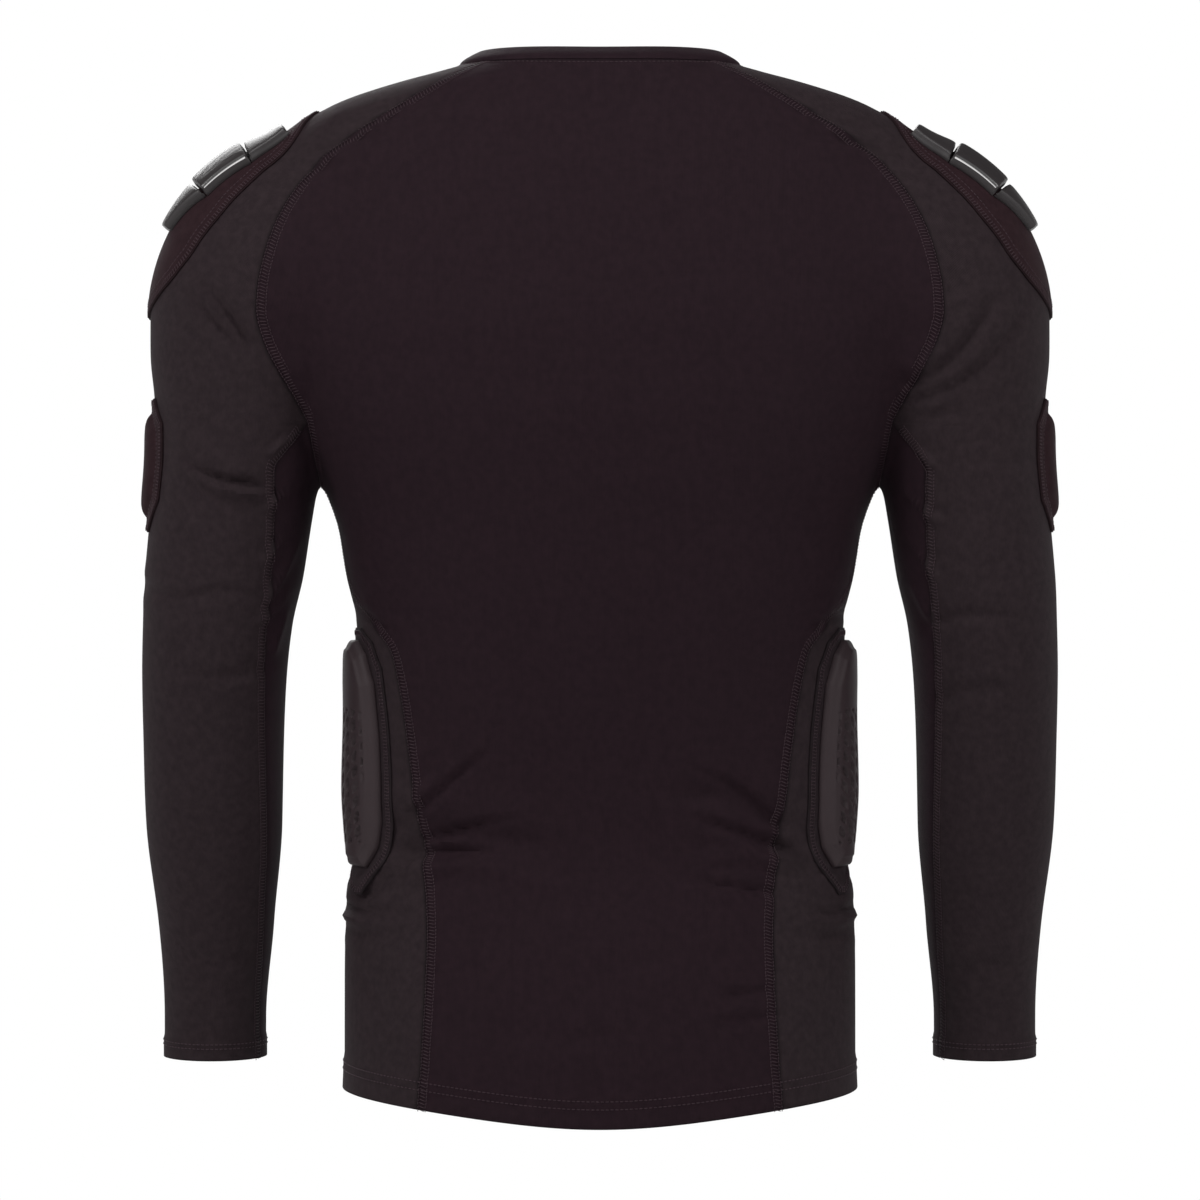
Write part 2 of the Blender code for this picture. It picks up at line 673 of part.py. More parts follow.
def build_panels():
    back, back_under = raglan_seam(RAGLAN_BACK, RAGLAN_BACK_TURN, 1)
    front, front_under = raglan_seam(RAGLAN_FRONT, RAGLAN_FRONT_TURN, -1)
    flank_back = flank_seam("back_x", "back_y", 1)
    flank_front = flank_seam("front_x", "front_y", -1)
    level_back, level_front = flank_back[:, 2].copy(), flank_front[:, 2].copy()
    for seam, level in ((flank_back, level_back), (flank_front, level_front)):
        seam[1:] = on_torso(turn_of(seam[1:]), level[1:])

    for name, seam, under, flank, flank_level, side in (
        ("back_panel", back, back_under, flank_back, level_back, 1),
        ("front_panel", front, front_under, flank_front, level_front, -1),
    ):
        edge = np.concatenate([seam, under[1:], flank[1:]])
        level = np.concatenate([seam[:, 2], under[1:, 2], flank_level[1:]])
        p = torso_panel(edge, level, side)
        inner, outer = panel(p)
        wall(name, inner, outer, material(name, TORSO_KNIT))

    tuck = crease_points(np.linspace(TUCK_HALF, -TUCK_HALF, TUCK_STEPS + 1))
    share = np.linspace(0, 1, FLANK_COLUMNS + 1)
    turns = turn_of(flank_back)[:, None] * (1 - share) + turn_of(flank_front)[:, None] * share
    levels = level_back[:, None] * (1 - share) + level_front[:, None] * share
    p = on_torso(turns, levels)
    stops = np.linspace(0, 1, TUCK_STEPS + 1)
    p[0] = np.stack([np.interp(share, stops, tuck[:, k]) for k in range(3)], axis=1)
    p[:, 0], p[:, -1] = flank_back, flank_front
    inner, outer = panel(p)
    both_sides("side_panel", inner, outer, "side_panel", SLEEVE_KNIT)

    crease = np.concatenate([back_under, tuck[1:-1], front_under[::-1]])
    under, lower = lower_arm(crease)
    inner, outer = panel(under)
    both_sides("underarm", inner, outer, "underarm", TORSO_KNIT)
    line = ridge_line()
    p = np.concatenate([sleeve_top(back, front, line), lower])
    inner, outer = panel(p)
    both_sides("sleeve", inner, outer, "sleeve", SLEEVE_KNIT)
    return line


def build_collar():
    """A narrow band of doubled cloth round the neck, leaning inwards."""
    turn_back = np.linspace(-RAGLAN_BACK_TURN, RAGLAN_BACK_TURN, BODY_COLUMNS + 1)
    turn_side = np.linspace(RAGLAN_BACK_TURN, RAGLAN_FRONT_TURN, SLEEVE_COLUMNS + 1)
    turn_front = np.linspace(RAGLAN_FRONT_TURN, 360 - RAGLAN_FRONT_TURN, BODY_COLUMNS + 1)
    turns = np.concatenate([turn_back[:-1], turn_side[:-1], turn_front[:-1], 360 - turn_side[::-1][:-1]])
    seam = neck_seam(turns)
    turn = np.radians(turns)
    inwards = -np.stack([np.sin(turn), np.cos(turn), 0 * turn], axis=1)
    up = np.array([0, 0, 1.0])
    steps = np.array([0.0, 0.4, 1.0])[:, None, None]
    lift = COLLAR_UP * (0.6 * steps + 0.4 * np.sqrt(steps))
    middle = seam[None] + COLLAR_IN * steps**1.2 * inwards[None] + lift * up
    middle[0] += 0.0006 * inwards
    normal = normals_at(seam)
    rise = np.stack([normal, unit(normal + 0.3 * up), unit(normal + 0.5 * up)])
    inner = middle + 0.0002 * rise
    outer = inner + HEM_CLOTH * rise
    wall("collar", inner, outer, material("collar", TORSO_KNIT), ring=True)


def bevelled(rows, columns, edge, rise, first, second):
    """Heights of a pad's top: low at its rim, and full from the second ring of points inwards."""
    r = np.minimum(np.arange(rows), np.arange(rows)[::-1])[:, None]
    c = np.minimum(np.arange(columns), np.arange(columns)[::-1])[None]
    ring = np.minimum(r, c)
    heights = np.select([ring == 0, ring == 1, ring == 2], [edge, first, second], rise)
    return heights[..., None]


def rim_steps(count, rim, bevel):
    """Shares across a pad: its rim, its bevel, and even steps between."""
    return np.concatenate([[0, rim], np.linspace(bevel, 1 - bevel, count), [1 - rim, 1]])


def on_shoulder(line, along, across):
    """Points on the shoulder: along the ridge from the neck, and across it, positive to the back."""
    along, across = np.broadcast_arrays(along, across)
    ridge = along_ridge(line, along)
    out = normals_at(ridge)
    depth = 0.062
    turn = across / depth
    tangent = unit(along_ridge(line, along + 0.004) - along_ridge(line, along - 0.004))
    back = unit(np.cross(out, tangent))
    back = np.where(back[..., 1:2] < 0, -back, back)
    ways = np.cos(turn)[..., None] * out + np.sin(turn)[..., None] * back
    return surface(ridge - depth * out, ways)


def raised(p, lift, height):
    inner, normal = placed(p)
    inner = inner + lift * normal
    return inner, inner + height * normal


def build_shoulder(line):
    start, end = SHOULDER_PATCH[0].along, SHOULDER_PATCH[-1].along
    along = np.linspace(start, end, 16)[:, None]
    across = patch_at(along) * np.linspace(1, -1, 9)[None]
    p = on_shoulder(line, along, across)
    inner, outer = raised(p, CLOTH + WIDE_CLEAR, np.full(p.shape[:2] + (1,), PATCH_CLOTH))
    both_sides("shoulder_patch", inner, outer, "shoulder_patch", PATCH_KNIT)
    base = CLOTH + WIDE_CLEAR + PATCH_CLOTH + PLATE_CLEAR
    for plate in SHOULDER_PLATES:
        length = plate.end - plate.start
        count = 2 + round((length - 2 * PLATE_BEVEL) / 0.012)
        steps = rim_steps(count, 0.5 * PLATE_BEVEL / length, PLATE_BEVEL / length)
        along = (plate.start + length * steps)[:, None]
        half = plate.half_start + (plate.half_end - plate.half_start) * steps[:, None]
        across = half * (1 - 2 * rim_steps(5, 0.03, 0.08))[None]
        p = on_shoulder(line, along, across)
        height = bevelled(*p.shape[:2], PLATE_EDGE, plate.rise, 0.72 * plate.rise, plate.rise)
        inner, outer = raised(p, base, height)
        both_sides(f"shoulder_plate_{plate.name}", inner, outer, f"shoulder_plate_{plate.name}", MOULDED)


def build_arm_pad():
    top, low = ARM_PAD[0].height, ARM_PAD[-1].height
    rim, bevel = ARM_PAD_MARGIN / (top - low), (ARM_PAD_MARGIN + 0.005) / (top - low)
    steps = rim_steps(7, rim, bevel)
    z = (top + (low - top) * steps)[:, None]
    half = np.interp(-z, [-row.height for row in ARM_PAD], [row.half_turn for row in ARM_PAD])
    turn = math.pi + np.radians(half) * (1 - 2 * rim_steps(6, 0.12, 0.18))[None]
    p = on_arm(turn, z)
    height = bevelled(*p.shape[:2], ARM_PAD_EDGE, ARM_PAD_RISE, ARM_PAD_EDGE + 0.0006, ARM_PAD_RISE)
    inner, outer = raised(p, CLOTH + PATCH_CLEAR, height)
    both_sides("arm_pad", inner, outer, "arm_pad", PATCH_KNIT)


def on_flank(table, heights, shares):
    """Points on the side of the torso between a pad's back and front edges."""
    order = [-row.height for row in table]
    back = np.interp(-heights, order, [row.back_y for row in table])[:, None]
    front = np.interp(-heights, order, [row.front_y for row in table])[:, None]
    y = back + (front - back) * shares[None]
    z = np.broadcast_to(heights[:, None], y.shape)
    return surface(np.stack([0 * y, y, z], axis=-1), np.stack([1 + 0 * y, 0 * y, 0 * y], axis=-1))


def build_waist_pad():
    top, low = WAIST_FLANGE[0].height, WAIST_FLANGE[-1].height
    ends = [top, -0.3505, -0.355], [-0.497, -0.504, -0.511, low]
    heights = np.concatenate([ends[0], np.linspace(-0.366, -0.486, 8), ends[1]])
    p = on_flank(WAIST_FLANGE, heights, np.linspace(0, 1, 8))
    inner, outer = raised(p, CLOTH + WIDE_CLEAR, np.full(p.shape[:2] + (1,), FLANGE_CLOTH))
    both_sides("waist_pad_flange", inner, outer, "waist_pad_flange", PATCH_KNIT)
    top, low = WAIST_BLOCK[0].height, WAIST_BLOCK[-1].height
    rim = BLOCK_BEVEL * np.array([0, 0.5, 1])
    between = [-0.382, -0.406, -0.430, -0.452, -0.464, -0.474, -0.484]
    heights = np.concatenate([top - rim, between, low + rim[::-1]])
    p = on_flank(WAIST_BLOCK, heights, rim_steps(6, 0.05, 0.11))
    height = bevelled(*p.shape[:2], BLOCK_EDGE, BLOCK_RISE, BLOCK_RISE - 0.0024, BLOCK_RISE - 0.0008)
    inner, outer = raised(p, CLOTH + WIDE_CLEAR + FLANGE_CLOTH + BLOCK_CLEAR, height)
    both_sides("waist_pad_block", inner, outer, "waist_pad_block", FOAM_SKIN)


shirt = start_scene()
ridge = build_panels()
build_collar()
build_shoulder(ridge)
build_arm_pad()
build_waist_pad()
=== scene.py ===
# %% [markdown]
# # A padded compression shirt, dressed on its CAD frame
# The frame is the plain CAD model. This lesson lays fine cloth, sewing and moulded pads over it, then
# lights it the way a shop photographs a garment from behind.

import math
from collections import namedtuple

import bpy
import numpy as np
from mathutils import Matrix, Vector


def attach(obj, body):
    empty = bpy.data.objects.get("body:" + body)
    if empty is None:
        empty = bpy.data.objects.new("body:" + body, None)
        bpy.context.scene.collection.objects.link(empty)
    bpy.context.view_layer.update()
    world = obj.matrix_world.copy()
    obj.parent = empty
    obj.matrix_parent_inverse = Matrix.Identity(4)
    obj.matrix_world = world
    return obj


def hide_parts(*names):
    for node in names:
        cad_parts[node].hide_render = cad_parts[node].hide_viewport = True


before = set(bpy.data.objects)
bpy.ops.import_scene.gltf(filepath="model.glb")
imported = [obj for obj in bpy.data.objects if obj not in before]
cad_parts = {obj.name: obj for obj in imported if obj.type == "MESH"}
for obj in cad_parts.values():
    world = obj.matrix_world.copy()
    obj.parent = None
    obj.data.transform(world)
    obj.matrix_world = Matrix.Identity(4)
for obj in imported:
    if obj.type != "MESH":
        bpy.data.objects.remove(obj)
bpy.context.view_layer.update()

# %% [markdown]
# ## The figure under the cloth
# A compression shirt takes the form of what it is stretched over. So the real panels, cut flat, all end
# up on one smooth figure. It is written here as level sections of the trunk and of an arm, blended
# where they meet.

# %% Sections of the figure
Torso = namedtuple("Torso", "height half_width back front")
TORSO = [Torso(*row) for row in (
    (0.050, 0.058, 0.036, 0.062), (0.034, 0.068, 0.046, 0.063), (0.0215, 0.087, 0.056, 0.064),
    (0.0145, 0.110, 0.060, 0.064), (0.0093, 0.130, 0.063, 0.064), (0.0040, 0.148, 0.066, 0.064),
    (-0.0010, 0.163, 0.068, 0.065), (-0.0060, 0.175, 0.070, 0.066), (-0.0125, 0.186, 0.073, 0.067),
    (-0.0200, 0.194, 0.077, 0.069), (-0.032, 0.201, 0.082, 0.073), (-0.055, 0.208, 0.092, 0.084),
    (-0.085, 0.213, 0.102, 0.097), (-0.120, 0.217, 0.111, 0.110), (-0.160, 0.215, 0.117, 0.119),
    (-0.200, 0.203, 0.117, 0.124), (-0.230, 0.190, 0.114, 0.124), (-0.256, 0.1785, 0.110, 0.123),
    (-0.282, 0.1695, 0.105, 0.121), (-0.311, 0.1650, 0.100, 0.117), (-0.344, 0.1580, 0.094, 0.112),
    (-0.400, 0.1565, 0.083, 0.106), (-0.450, 0.1575, 0.075, 0.102), (-0.486, 0.1565, 0.073, 0.100),
    (-0.500, 0.1590, 0.074, 0.100), (-0.516, 0.1645, 0.078, 0.100), (-0.535, 0.1655, 0.084, 0.100),
    (-0.570, 0.1660, 0.095, 0.101), (-0.620, 0.1660, 0.105, 0.102), (-0.700, 0.1700, 0.111, 0.104),
)]
TORSO_SQUARENESS = 2.25
Arm = namedtuple("Arm", "height centre_x centre_y half_width half_depth")
ARM = [Arm(*row) for row in (
    (-0.140, 0.2240, 0.006, 0.0685, 0.068), (-0.170, 0.2278, 0.007, 0.0645, 0.065),
    (-0.200, 0.2325, 0.008, 0.0570, 0.062), (-0.240, 0.2365, 0.009, 0.0530, 0.060),
    (-0.279, 0.2415, 0.009, 0.0515, 0.058), (-0.311, 0.2455, 0.008, 0.0505, 0.056),
    (-0.344, 0.2500, 0.006, 0.0475, 0.054), (-0.377, 0.2525, 0.002, 0.0460, 0.052),
    (-0.410, 0.2536, -0.004, 0.0450, 0.050), (-0.475, 0.2545, -0.017, 0.0435, 0.047),
    (-0.541, 0.2545, -0.031, 0.0370, 0.040), (-0.606, 0.2565, -0.045, 0.0325, 0.034),
    (-0.660, 0.2575, -0.056, 0.0325, 0.033),
)]
SHOULDER_DOME, DOME_POWER = 0.099, 1.75
SHOULDER_BLEND, ARMPIT_BLEND = 0.050, 0.012
BLEND_HEIGHT, BLEND_RISE = -0.20, 0.12


def smooth(positions, values):
    """A function through the given values that doesn't overshoot between them."""
    order = np.argsort(positions)
    x, y = np.asarray(positions, float)[order], np.asarray(values, float)[order]
    step = np.diff(x)
    slope = np.diff(y) / step
    tangent = np.zeros(len(x))
    same_way = slope[1:] * slope[:-1] > 0
    w1, w2 = 2 * step[1:] + step[:-1], step[1:] + 2 * step[:-1]
    ahead, behind = np.where(same_way, slope[:-1], 1), np.where(same_way, slope[1:], 1)
    tangent[1:-1] = np.where(same_way, (w1 + w2) / (w1 / ahead + w2 / behind), 0)
    tangent[0], tangent[-1] = slope[0], slope[-1]
    fine = np.linspace(x[0], x[-1], 3000)
    i = np.clip(np.searchsorted(x, fine, side="right") - 1, 0, len(step) - 1)
    t = (fine - x[i]) / step[i]
    curve = (2 * t**3 - 3 * t**2 + 1) * y[i] + (t**3 - 2 * t**2 + t) * step[i] * tangent[i]
    curve += (3 * t**2 - 2 * t**3) * y[i + 1] + (t**3 - t**2) * step[i] * tangent[i + 1]
    return lambda where: np.interp(where, fine, curve)


def columns_of(rows):
    """Each column of a table as a function of its first one."""
    first = [row[0] for row in rows]
    return {name: smooth(first, [getattr(row, name) for row in rows]) for name in rows[0]._fields}


torso_at, arm_at = columns_of(TORSO), columns_of(ARM)
print("sections of the trunk and arm", len(TORSO), len(ARM))

# %% [markdown]
# A point's distance outside the figure comes from how far it lies outside each section. Rays that start
# inside and stop where that distance is nought then lay any panel on the figure, as fine as we like.


# %% Lay points on the figure
def ease(t):
    t = np.clip(t, 0, 1)
    return t * t * (3 - 2 * t)


def unit(v):
    return v / np.linalg.norm(v, axis=-1, keepdims=True)


def torso_level(p):
    x, y, z = np.abs(p[..., 0]), p[..., 1], p[..., 2]
    reach = np.where(y > 0, torso_at["back"](z), torso_at["front"](z))
    n = TORSO_SQUARENESS
    return ((x / torso_at["half_width"](z)) ** n + (np.abs(y) / reach) ** n) ** (1 / n) - 1


def arm_level(p):
    x, y, z = np.abs(p[..., 0]), p[..., 1], p[..., 2]
    across = (x - arm_at["centre_x"](z)) / arm_at["half_width"](z)
    deep = (y - arm_at["centre_y"](z)) / arm_at["half_depth"](z)
    above = np.maximum(0, z - ARM[0].height) / SHOULDER_DOME
    return (np.hypot(across, deep) ** DOME_POWER + above**DOME_POWER) ** (1 / DOME_POWER) - 1


def slope_of(level, p, step=1e-4):
    return np.stack([(level(p + step * a) - level(p - step * a)) / (2 * step) for a in np.eye(3)], axis=-1)


def distance_to(level, p):
    return level(p) / np.maximum(np.linalg.norm(slope_of(level, p), axis=-1), 1e-6)


def figure(p):
    torso, arm = distance_to(torso_level, p), distance_to(arm_level, p)
    blend = ARMPIT_BLEND + (SHOULDER_BLEND - ARMPIT_BLEND) * ease((p[..., 2] - BLEND_HEIGHT) / BLEND_RISE)
    share = np.clip(0.5 + 0.5 * (arm - torso) / blend, 0, 1)
    return arm + (torso - arm) * share - blend * share * (1 - share)


def normals_at(p):
    return unit(slope_of(figure, p, 4e-4))


RAY_STEPS, LONGEST_STEP, CAREFUL = 40, 0.02, 0.8


def surface(origins, directions):
    """Where rays from inside the figure come out, found in careful steps."""
    directions = unit(np.asarray(directions, float))
    origins = np.broadcast_to(np.asarray(origins, float), directions.shape)
    reach = np.zeros(directions.shape[:-1])
    for _ in range(RAY_STEPS):
        ahead = figure(origins + directions * reach[..., None])
        short = np.clip(CAREFUL * ahead, -LONGEST_STEP, LONGEST_STEP)
        reach = np.maximum(0, reach - short)
    return origins + directions * reach[..., None]


print("shoulder height at the neck's side", surface([0.09, 0, -0.05], [[0, 0, 1]])[0, 2].round(4))

# %% [markdown]
# ## Seam lines
# A pattern cutter draws the seams first, and each seam is the edge of two panels. Here the raglan seam
# runs from the neck to the armpit, the under-sleeve panel starts in the crease there, and the side
# panel widens to the hem.

# %% Seams of the pattern
CLOTH, HEM_CLOTH, HEM_DEPTH, CUFF_DEPTH = 0.0012, 0.0019, 0.020, 0.014
HEM_SIDE, HEM_BACK_DROP, HEM_FRONT_DROP, HEM_DROP_FROM = -0.646, 0.015, 0.004, -0.500
CUFF_END, GUSSET_CORNER, TUCK_HALF = -0.632, -0.213, 0.005
NECK_CENTRE_Y, NECK_BACK, NECK_SIDE, NECK_FRONT, NECK_POINT = -0.004, 0.0185, 0.0195, -0.042, 3.5
RAGLAN_BACK_TURN, RAGLAN_FRONT_TURN = 62, 124
RAGLAN_ROWS, CREASE_STEPS, TUCK_STEPS, FLANK_ROWS, ARM_ROWS = 76, 14, 4, 150, 170
BODY_COLUMNS, SLEEVE_COLUMNS, FLANK_COLUMNS = 138, 84, 30
ARMPIT_HEIGHTS, ARMPIT_WIDTHS, ARMPIT_DEPTH = (-0.30, -0.12), (0.14, 0.25), 0.065
Seam = namedtuple("Seam", "x height")
RAGLAN_BACK = [Seam(*row) for row in (
    (0.117, -0.003), (0.1415, -0.018), (0.158, -0.0285), (0.174, -0.0405), (0.191, -0.0585),
    (0.206, -0.083), (0.214, -0.106), (0.2185, -0.128), (0.2195, -0.144), (0.216, -0.160),
)]
RAGLAN_FRONT = [Seam(*row) for row in (
    (0.102, -0.022), (0.128, -0.046), (0.152, -0.070), (0.174, -0.094), (0.191, -0.118), (0.202, -0.142),
)]
Gusset = namedtuple("Gusset", "height half_turn")
GUSSET = [Gusset(*row) for row in (
    (-0.245, 61), (-0.279, 55), (-0.344, 47), (-0.410, 41), (-0.475, 36), (-0.541, 31), (-0.606, 25),
    (-0.632, 24),
)]
Tuck = namedtuple("Tuck", "height back_y front_y")
TUCK = (Tuck(-0.292, 0.009, -0.010), Tuck(-0.322, 0.020, -0.024))
Flank = namedtuple("Flank", "height back_x front_x")
FLANK = [Flank(*row) for row in (
    (-0.343, 0.147, 0.149), (-0.363, 0.133, 0.135), (-0.392, 0.127, 0.126), (-0.430, 0.122, 0.119),
    (-0.472, 0.117, 0.114), (-0.504, 0.112, 0.111), (-0.548, 0.110, 0.110), (-0.600, 0.112, 0.112),
    (-0.646, 0.115, 0.115),
)]
gusset_at = columns_of(GUSSET)


def lengths(line):
    return np.concatenate([[0], np.cumsum(np.linalg.norm(np.diff(line, axis=0), axis=1))])


def at_lengths(line, at):
    along = lengths(line)
    return np.stack([np.interp(at, along, line[:, k]) for k in range(line.shape[1])], axis=-1)


def neck_seam(turns):
    turn = np.radians(turns)
    back, side = np.cos(turn), np.sin(turn)
    rear = NECK_SIDE + (NECK_BACK - NECK_SIDE) * back**2
    fore = NECK_SIDE + (NECK_FRONT - NECK_SIDE) * np.abs(back) ** NECK_POINT
    origin = np.stack([0 * turn, NECK_CENTRE_Y + 0 * turn, np.where(back > 0, rear, fore)], axis=-1)
    return surface(origin, np.stack([side, back, 0 * turn], axis=-1))


def crease_points(y):
    """The crease where the arm meets the trunk, at these places from back to front, by halving."""
    y = np.asarray(y, float)
    low, high = (np.full(y.shape, end) for end in ARMPIT_HEIGHTS)
    for _ in range(22):
        z = (low + high) / 2
        x_in, x_out = (np.full(y.shape, end) for end in ARMPIT_WIDTHS)
        for _ in range(18):
            x = (x_in + x_out) / 2
            p = np.stack([x, y, z], axis=-1)
            nearer_torso = distance_to(torso_level, p) < distance_to(arm_level, p)
            x_in, x_out = np.where(nearer_torso, x, x_in), np.where(nearer_torso, x_out, x)
        inside = figure(p) < 0
        low, high = np.where(inside, low, z), np.where(inside, z, high)
    return p


def through(points, at):
    """A smooth line through points, put back on the figure, at these shares of its length."""
    chord = lengths(points)
    fine = np.linspace(0, chord[-1], 200)
    line = np.stack([smooth(chord, points[:, k])(fine) for k in range(3)], axis=1)
    steps = at_lengths(line, np.asarray(at) * lengths(line)[-1])
    normal = normals_at(steps[1:-1])
    steps[1:-1] = surface(steps[1:-1] - 0.02 * normal, normal)
    return steps


def raglan_seam(rows, neck_turn, side):
    y = side * np.linspace(TUCK_HALF, ARMPIT_DEPTH, 25)
    place = np.interp(GUSSET_CORNER, crease_points(y)[:, 2], y * side)
    under = crease_points(side * np.linspace(place, TUCK_HALF, CREASE_STEPS + 1))
    shown = surface(np.array([[r.x, 0, r.height] for r in rows]), np.array([[0, side, 0]] * len(rows)))
    points = np.concatenate([neck_seam(np.array([neck_turn])), shown, under[:1]])
    return through(points, np.linspace(0, 1, RAGLAN_ROWS + 1)), under


def turn_of(p):
    return np.arctan2(p[..., 0], p[..., 1] - NECK_CENTRE_Y)


def on_torso(turn, height):
    """Points at these turns and heights, lower towards the back and front of the hem."""
    reach = np.cos(turn)
    drop = np.where(reach > 0, HEM_BACK_DROP, HEM_FRONT_DROP) * reach**2
    z = height - drop * ease((HEM_DROP_FROM - height) / (HEM_DROP_FROM - HEM_SIDE))
    turn, z = np.broadcast_arrays(turn, z)
    origin = np.stack([0 * z, NECK_CENTRE_Y + 0 * z, z], axis=-1)
    return surface(origin, np.stack([np.sin(turn), np.cos(turn), 0 * z], axis=-1))


def flank_seam(column, tuck_column, side):
    y = np.array([[0, getattr(row, tuck_column), row.height] for row in TUCK])
    tuck = surface(y, np.array([[1, 0, 0]] * len(y)))
    rows = np.array([[getattr(row, column), 0, row.height] for row in FLANK])
    low = surface(rows, np.array([[0, side, 0]] * len(rows)))
    points = np.concatenate([crease_points([side * TUCK_HALF]), tuck, low])
    return through(points, np.linspace(0, 1, FLANK_ROWS + 1))


back_seam, back_under = raglan_seam(RAGLAN_BACK, RAGLAN_BACK_TURN, 1)
front_seam, front_under = raglan_seam(RAGLAN_FRONT, RAGLAN_FRONT_TURN, -1)
flank_back = flank_seam("back_x", "back_y", 1)
flank_front = flank_seam("front_x", "front_y", -1)
level_back, level_front = flank_back[:, 2].copy(), flank_front[:, 2].copy()
flank_back[1:] = on_torso(turn_of(flank_back[1:]), level_back[1:])
flank_front[1:] = on_torso(turn_of(flank_front[1:]), level_front[1:])
print("raglan seam at the back, m", lengths(back_seam)[-1].round(3))
print("side seam at the back, m", lengths(flank_back)[-1].round(3))

# %% [markdown]
# ## Panels between the seams
# Each panel becomes a grid of points on the figure, row by row from the top, between the seams on its
# two sides.


# %% Grids of the panels
RIDGE_CENTRE, RIDGE_SWEEP = (0.160, 0.004, -0.130), (113, -34)
RIDGE_INSIDE, CREASE_FADE = 0.055, 0.075


def torso_grid(seam, level, side):
    turn = turn_of(seam)
    share = np.linspace(0, 1, BODY_COLUMNS + 1)
    far = -turn if side > 0 else 2 * math.pi - turn
    turns = turn[:, None] + (far - turn)[:, None] * share
    neck = neck_seam(np.degrees(turns[0]))
    fade = np.clip(1 - np.arange(len(seam)) / RAGLAN_ROWS, 0, 1)[:, None]
    p = on_torso(turns, level[:, None] + fade * (neck[:, 2] - level[0]))
    p[0], p[:, 0], p[:, -1] = neck, seam, seam * [-1, 1, 1]
    return p


def ridge_line():
    """The line over the shoulder and down the outside of the arm."""
    sweep = np.radians(np.linspace(*RIDGE_SWEEP, 240))
    line = surface(RIDGE_CENTRE, np.stack([np.cos(sweep), 0 * sweep, np.sin(sweep)], axis=1))
    line[0] = neck_seam(np.array([90.0]))[0]
    return line


def fan(start, top, end, share):
    """Directions that turn evenly from the start to the top and on to the end."""
    first, second = np.clip(share * 2, 0, 1)[..., None], np.clip(share * 2 - 1, 0, 1)[..., None]

    def swing(a, b, t):
        angle = np.arccos(np.clip(np.sum(a * b, axis=-1, keepdims=True), -1, 1))
        return (np.sin((1 - t) * angle) * a + np.sin(t * angle) * b) / np.sin(angle)

    return np.where(second > 0, swing(top, end, second), swing(start, top, first))


def sleeve_top(back, front, line):
    part = line[line[:, 2] > GUSSET_CORNER]
    ridge = at_lengths(part, np.linspace(0, lengths(part)[-1], RAGLAN_ROWS + 1))
    out = normals_at(ridge)
    share = np.linspace(0, 1, SLEEVE_COLUMNS + 1)
    centre = (ridge - RIDGE_INSIDE * out)[:, None]
    ways = fan(unit(back[:, None] - centre), out[:, None], unit(front[:, None] - centre), share[None])
    p = surface(np.broadcast_to(centre, ways.shape), ways)
    p[0] = neck_seam(RAGLAN_BACK_TURN + (RAGLAN_FRONT_TURN - RAGLAN_BACK_TURN) * share)
    p[:, 0], p[:, -1] = back, front
    return p


def on_arm(turn, z):
    """Points round the arm: the turn is from straight inwards, positive towards the back."""
    turn, z = np.broadcast_arrays(turn, z)
    origin = np.stack([arm_at["centre_x"](z), arm_at["centre_y"](z), z], axis=-1)
    return surface(origin, np.stack([-np.cos(turn), np.sin(turn), 0 * z], axis=-1))


def lower_arm(crease):
    steps = np.linspace(0, 1, ARM_ROWS + 1)
    level = crease[None, :, 2] + (CUFF_END - crease[None, :, 2]) * steps[:, None]
    half = np.radians(gusset_at["half_turn"](level[:, :1]))
    spread = np.linspace(1, -1, crease.shape[0])[None]
    z = crease[..., 2]
    first = np.arctan2(crease[..., 1] - arm_at["centre_y"](z), arm_at["centre_x"](z) - crease[..., 0])
    blend = ease(steps / CREASE_FADE)[:, None]
    turns = first[None] * (1 - blend) + half * spread * blend
    under = on_arm(turns, level)
    under[0] = crease
    share = np.linspace(0, 1, SLEEVE_COLUMNS + 1)
    start, end = turns[1:, :1], 2 * math.pi + turns[1:, -1:]
    edge = level[1:, :1] + (level[1:, -1:] - level[1:, :1]) * share
    outer = on_arm(start + (end - start) * share, edge)
    outer[:, 0], outer[:, -1] = under[1:, 0], under[1:, -1]
    return under, outer


edges = [np.concatenate(parts) for parts in (
    (back_seam, back_under[1:], flank_back[1:]),
    (front_seam, front_under[1:], flank_front[1:]),
)]
levels = [np.concatenate(parts) for parts in (
    (back_seam[:, 2], back_under[1:, 2], level_back[1:]),
    (front_seam[:, 2], front_under[1:, 2], level_front[1:]),
)]
tuck = crease_points(np.linspace(TUCK_HALF, -TUCK_HALF, TUCK_STEPS + 1))
share = np.linspace(0, 1, FLANK_COLUMNS + 1)
flank_turns = turn_of(flank_back)[:, None] * (1 - share) + turn_of(flank_front)[:, None] * share
flank = on_torso(flank_turns, level_back[:, None] * (1 - share) + level_front[:, None] * share)
flank[0] = at_lengths(tuck, share * lengths(tuck)[-1])
flank[:, 0], flank[:, -1] = flank_back, flank_front
under_arm, arm_outside = lower_arm(np.concatenate([back_under, tuck[1:-1], front_under[::-1]]))
ridge = ridge_line()
GRIDS = {
    "back_panel": torso_grid(edges[0], levels[0], 1),
    "front_panel": torso_grid(edges[1], levels[1], -1),
    "side_panel": flank,
    "underarm": under_arm,
    "sleeve": np.concatenate([sleeve_top(back_seam, front_seam, ridge), arm_outside]),
}
print({name: grid.shape[:2] for name, grid in GRIDS.items()})
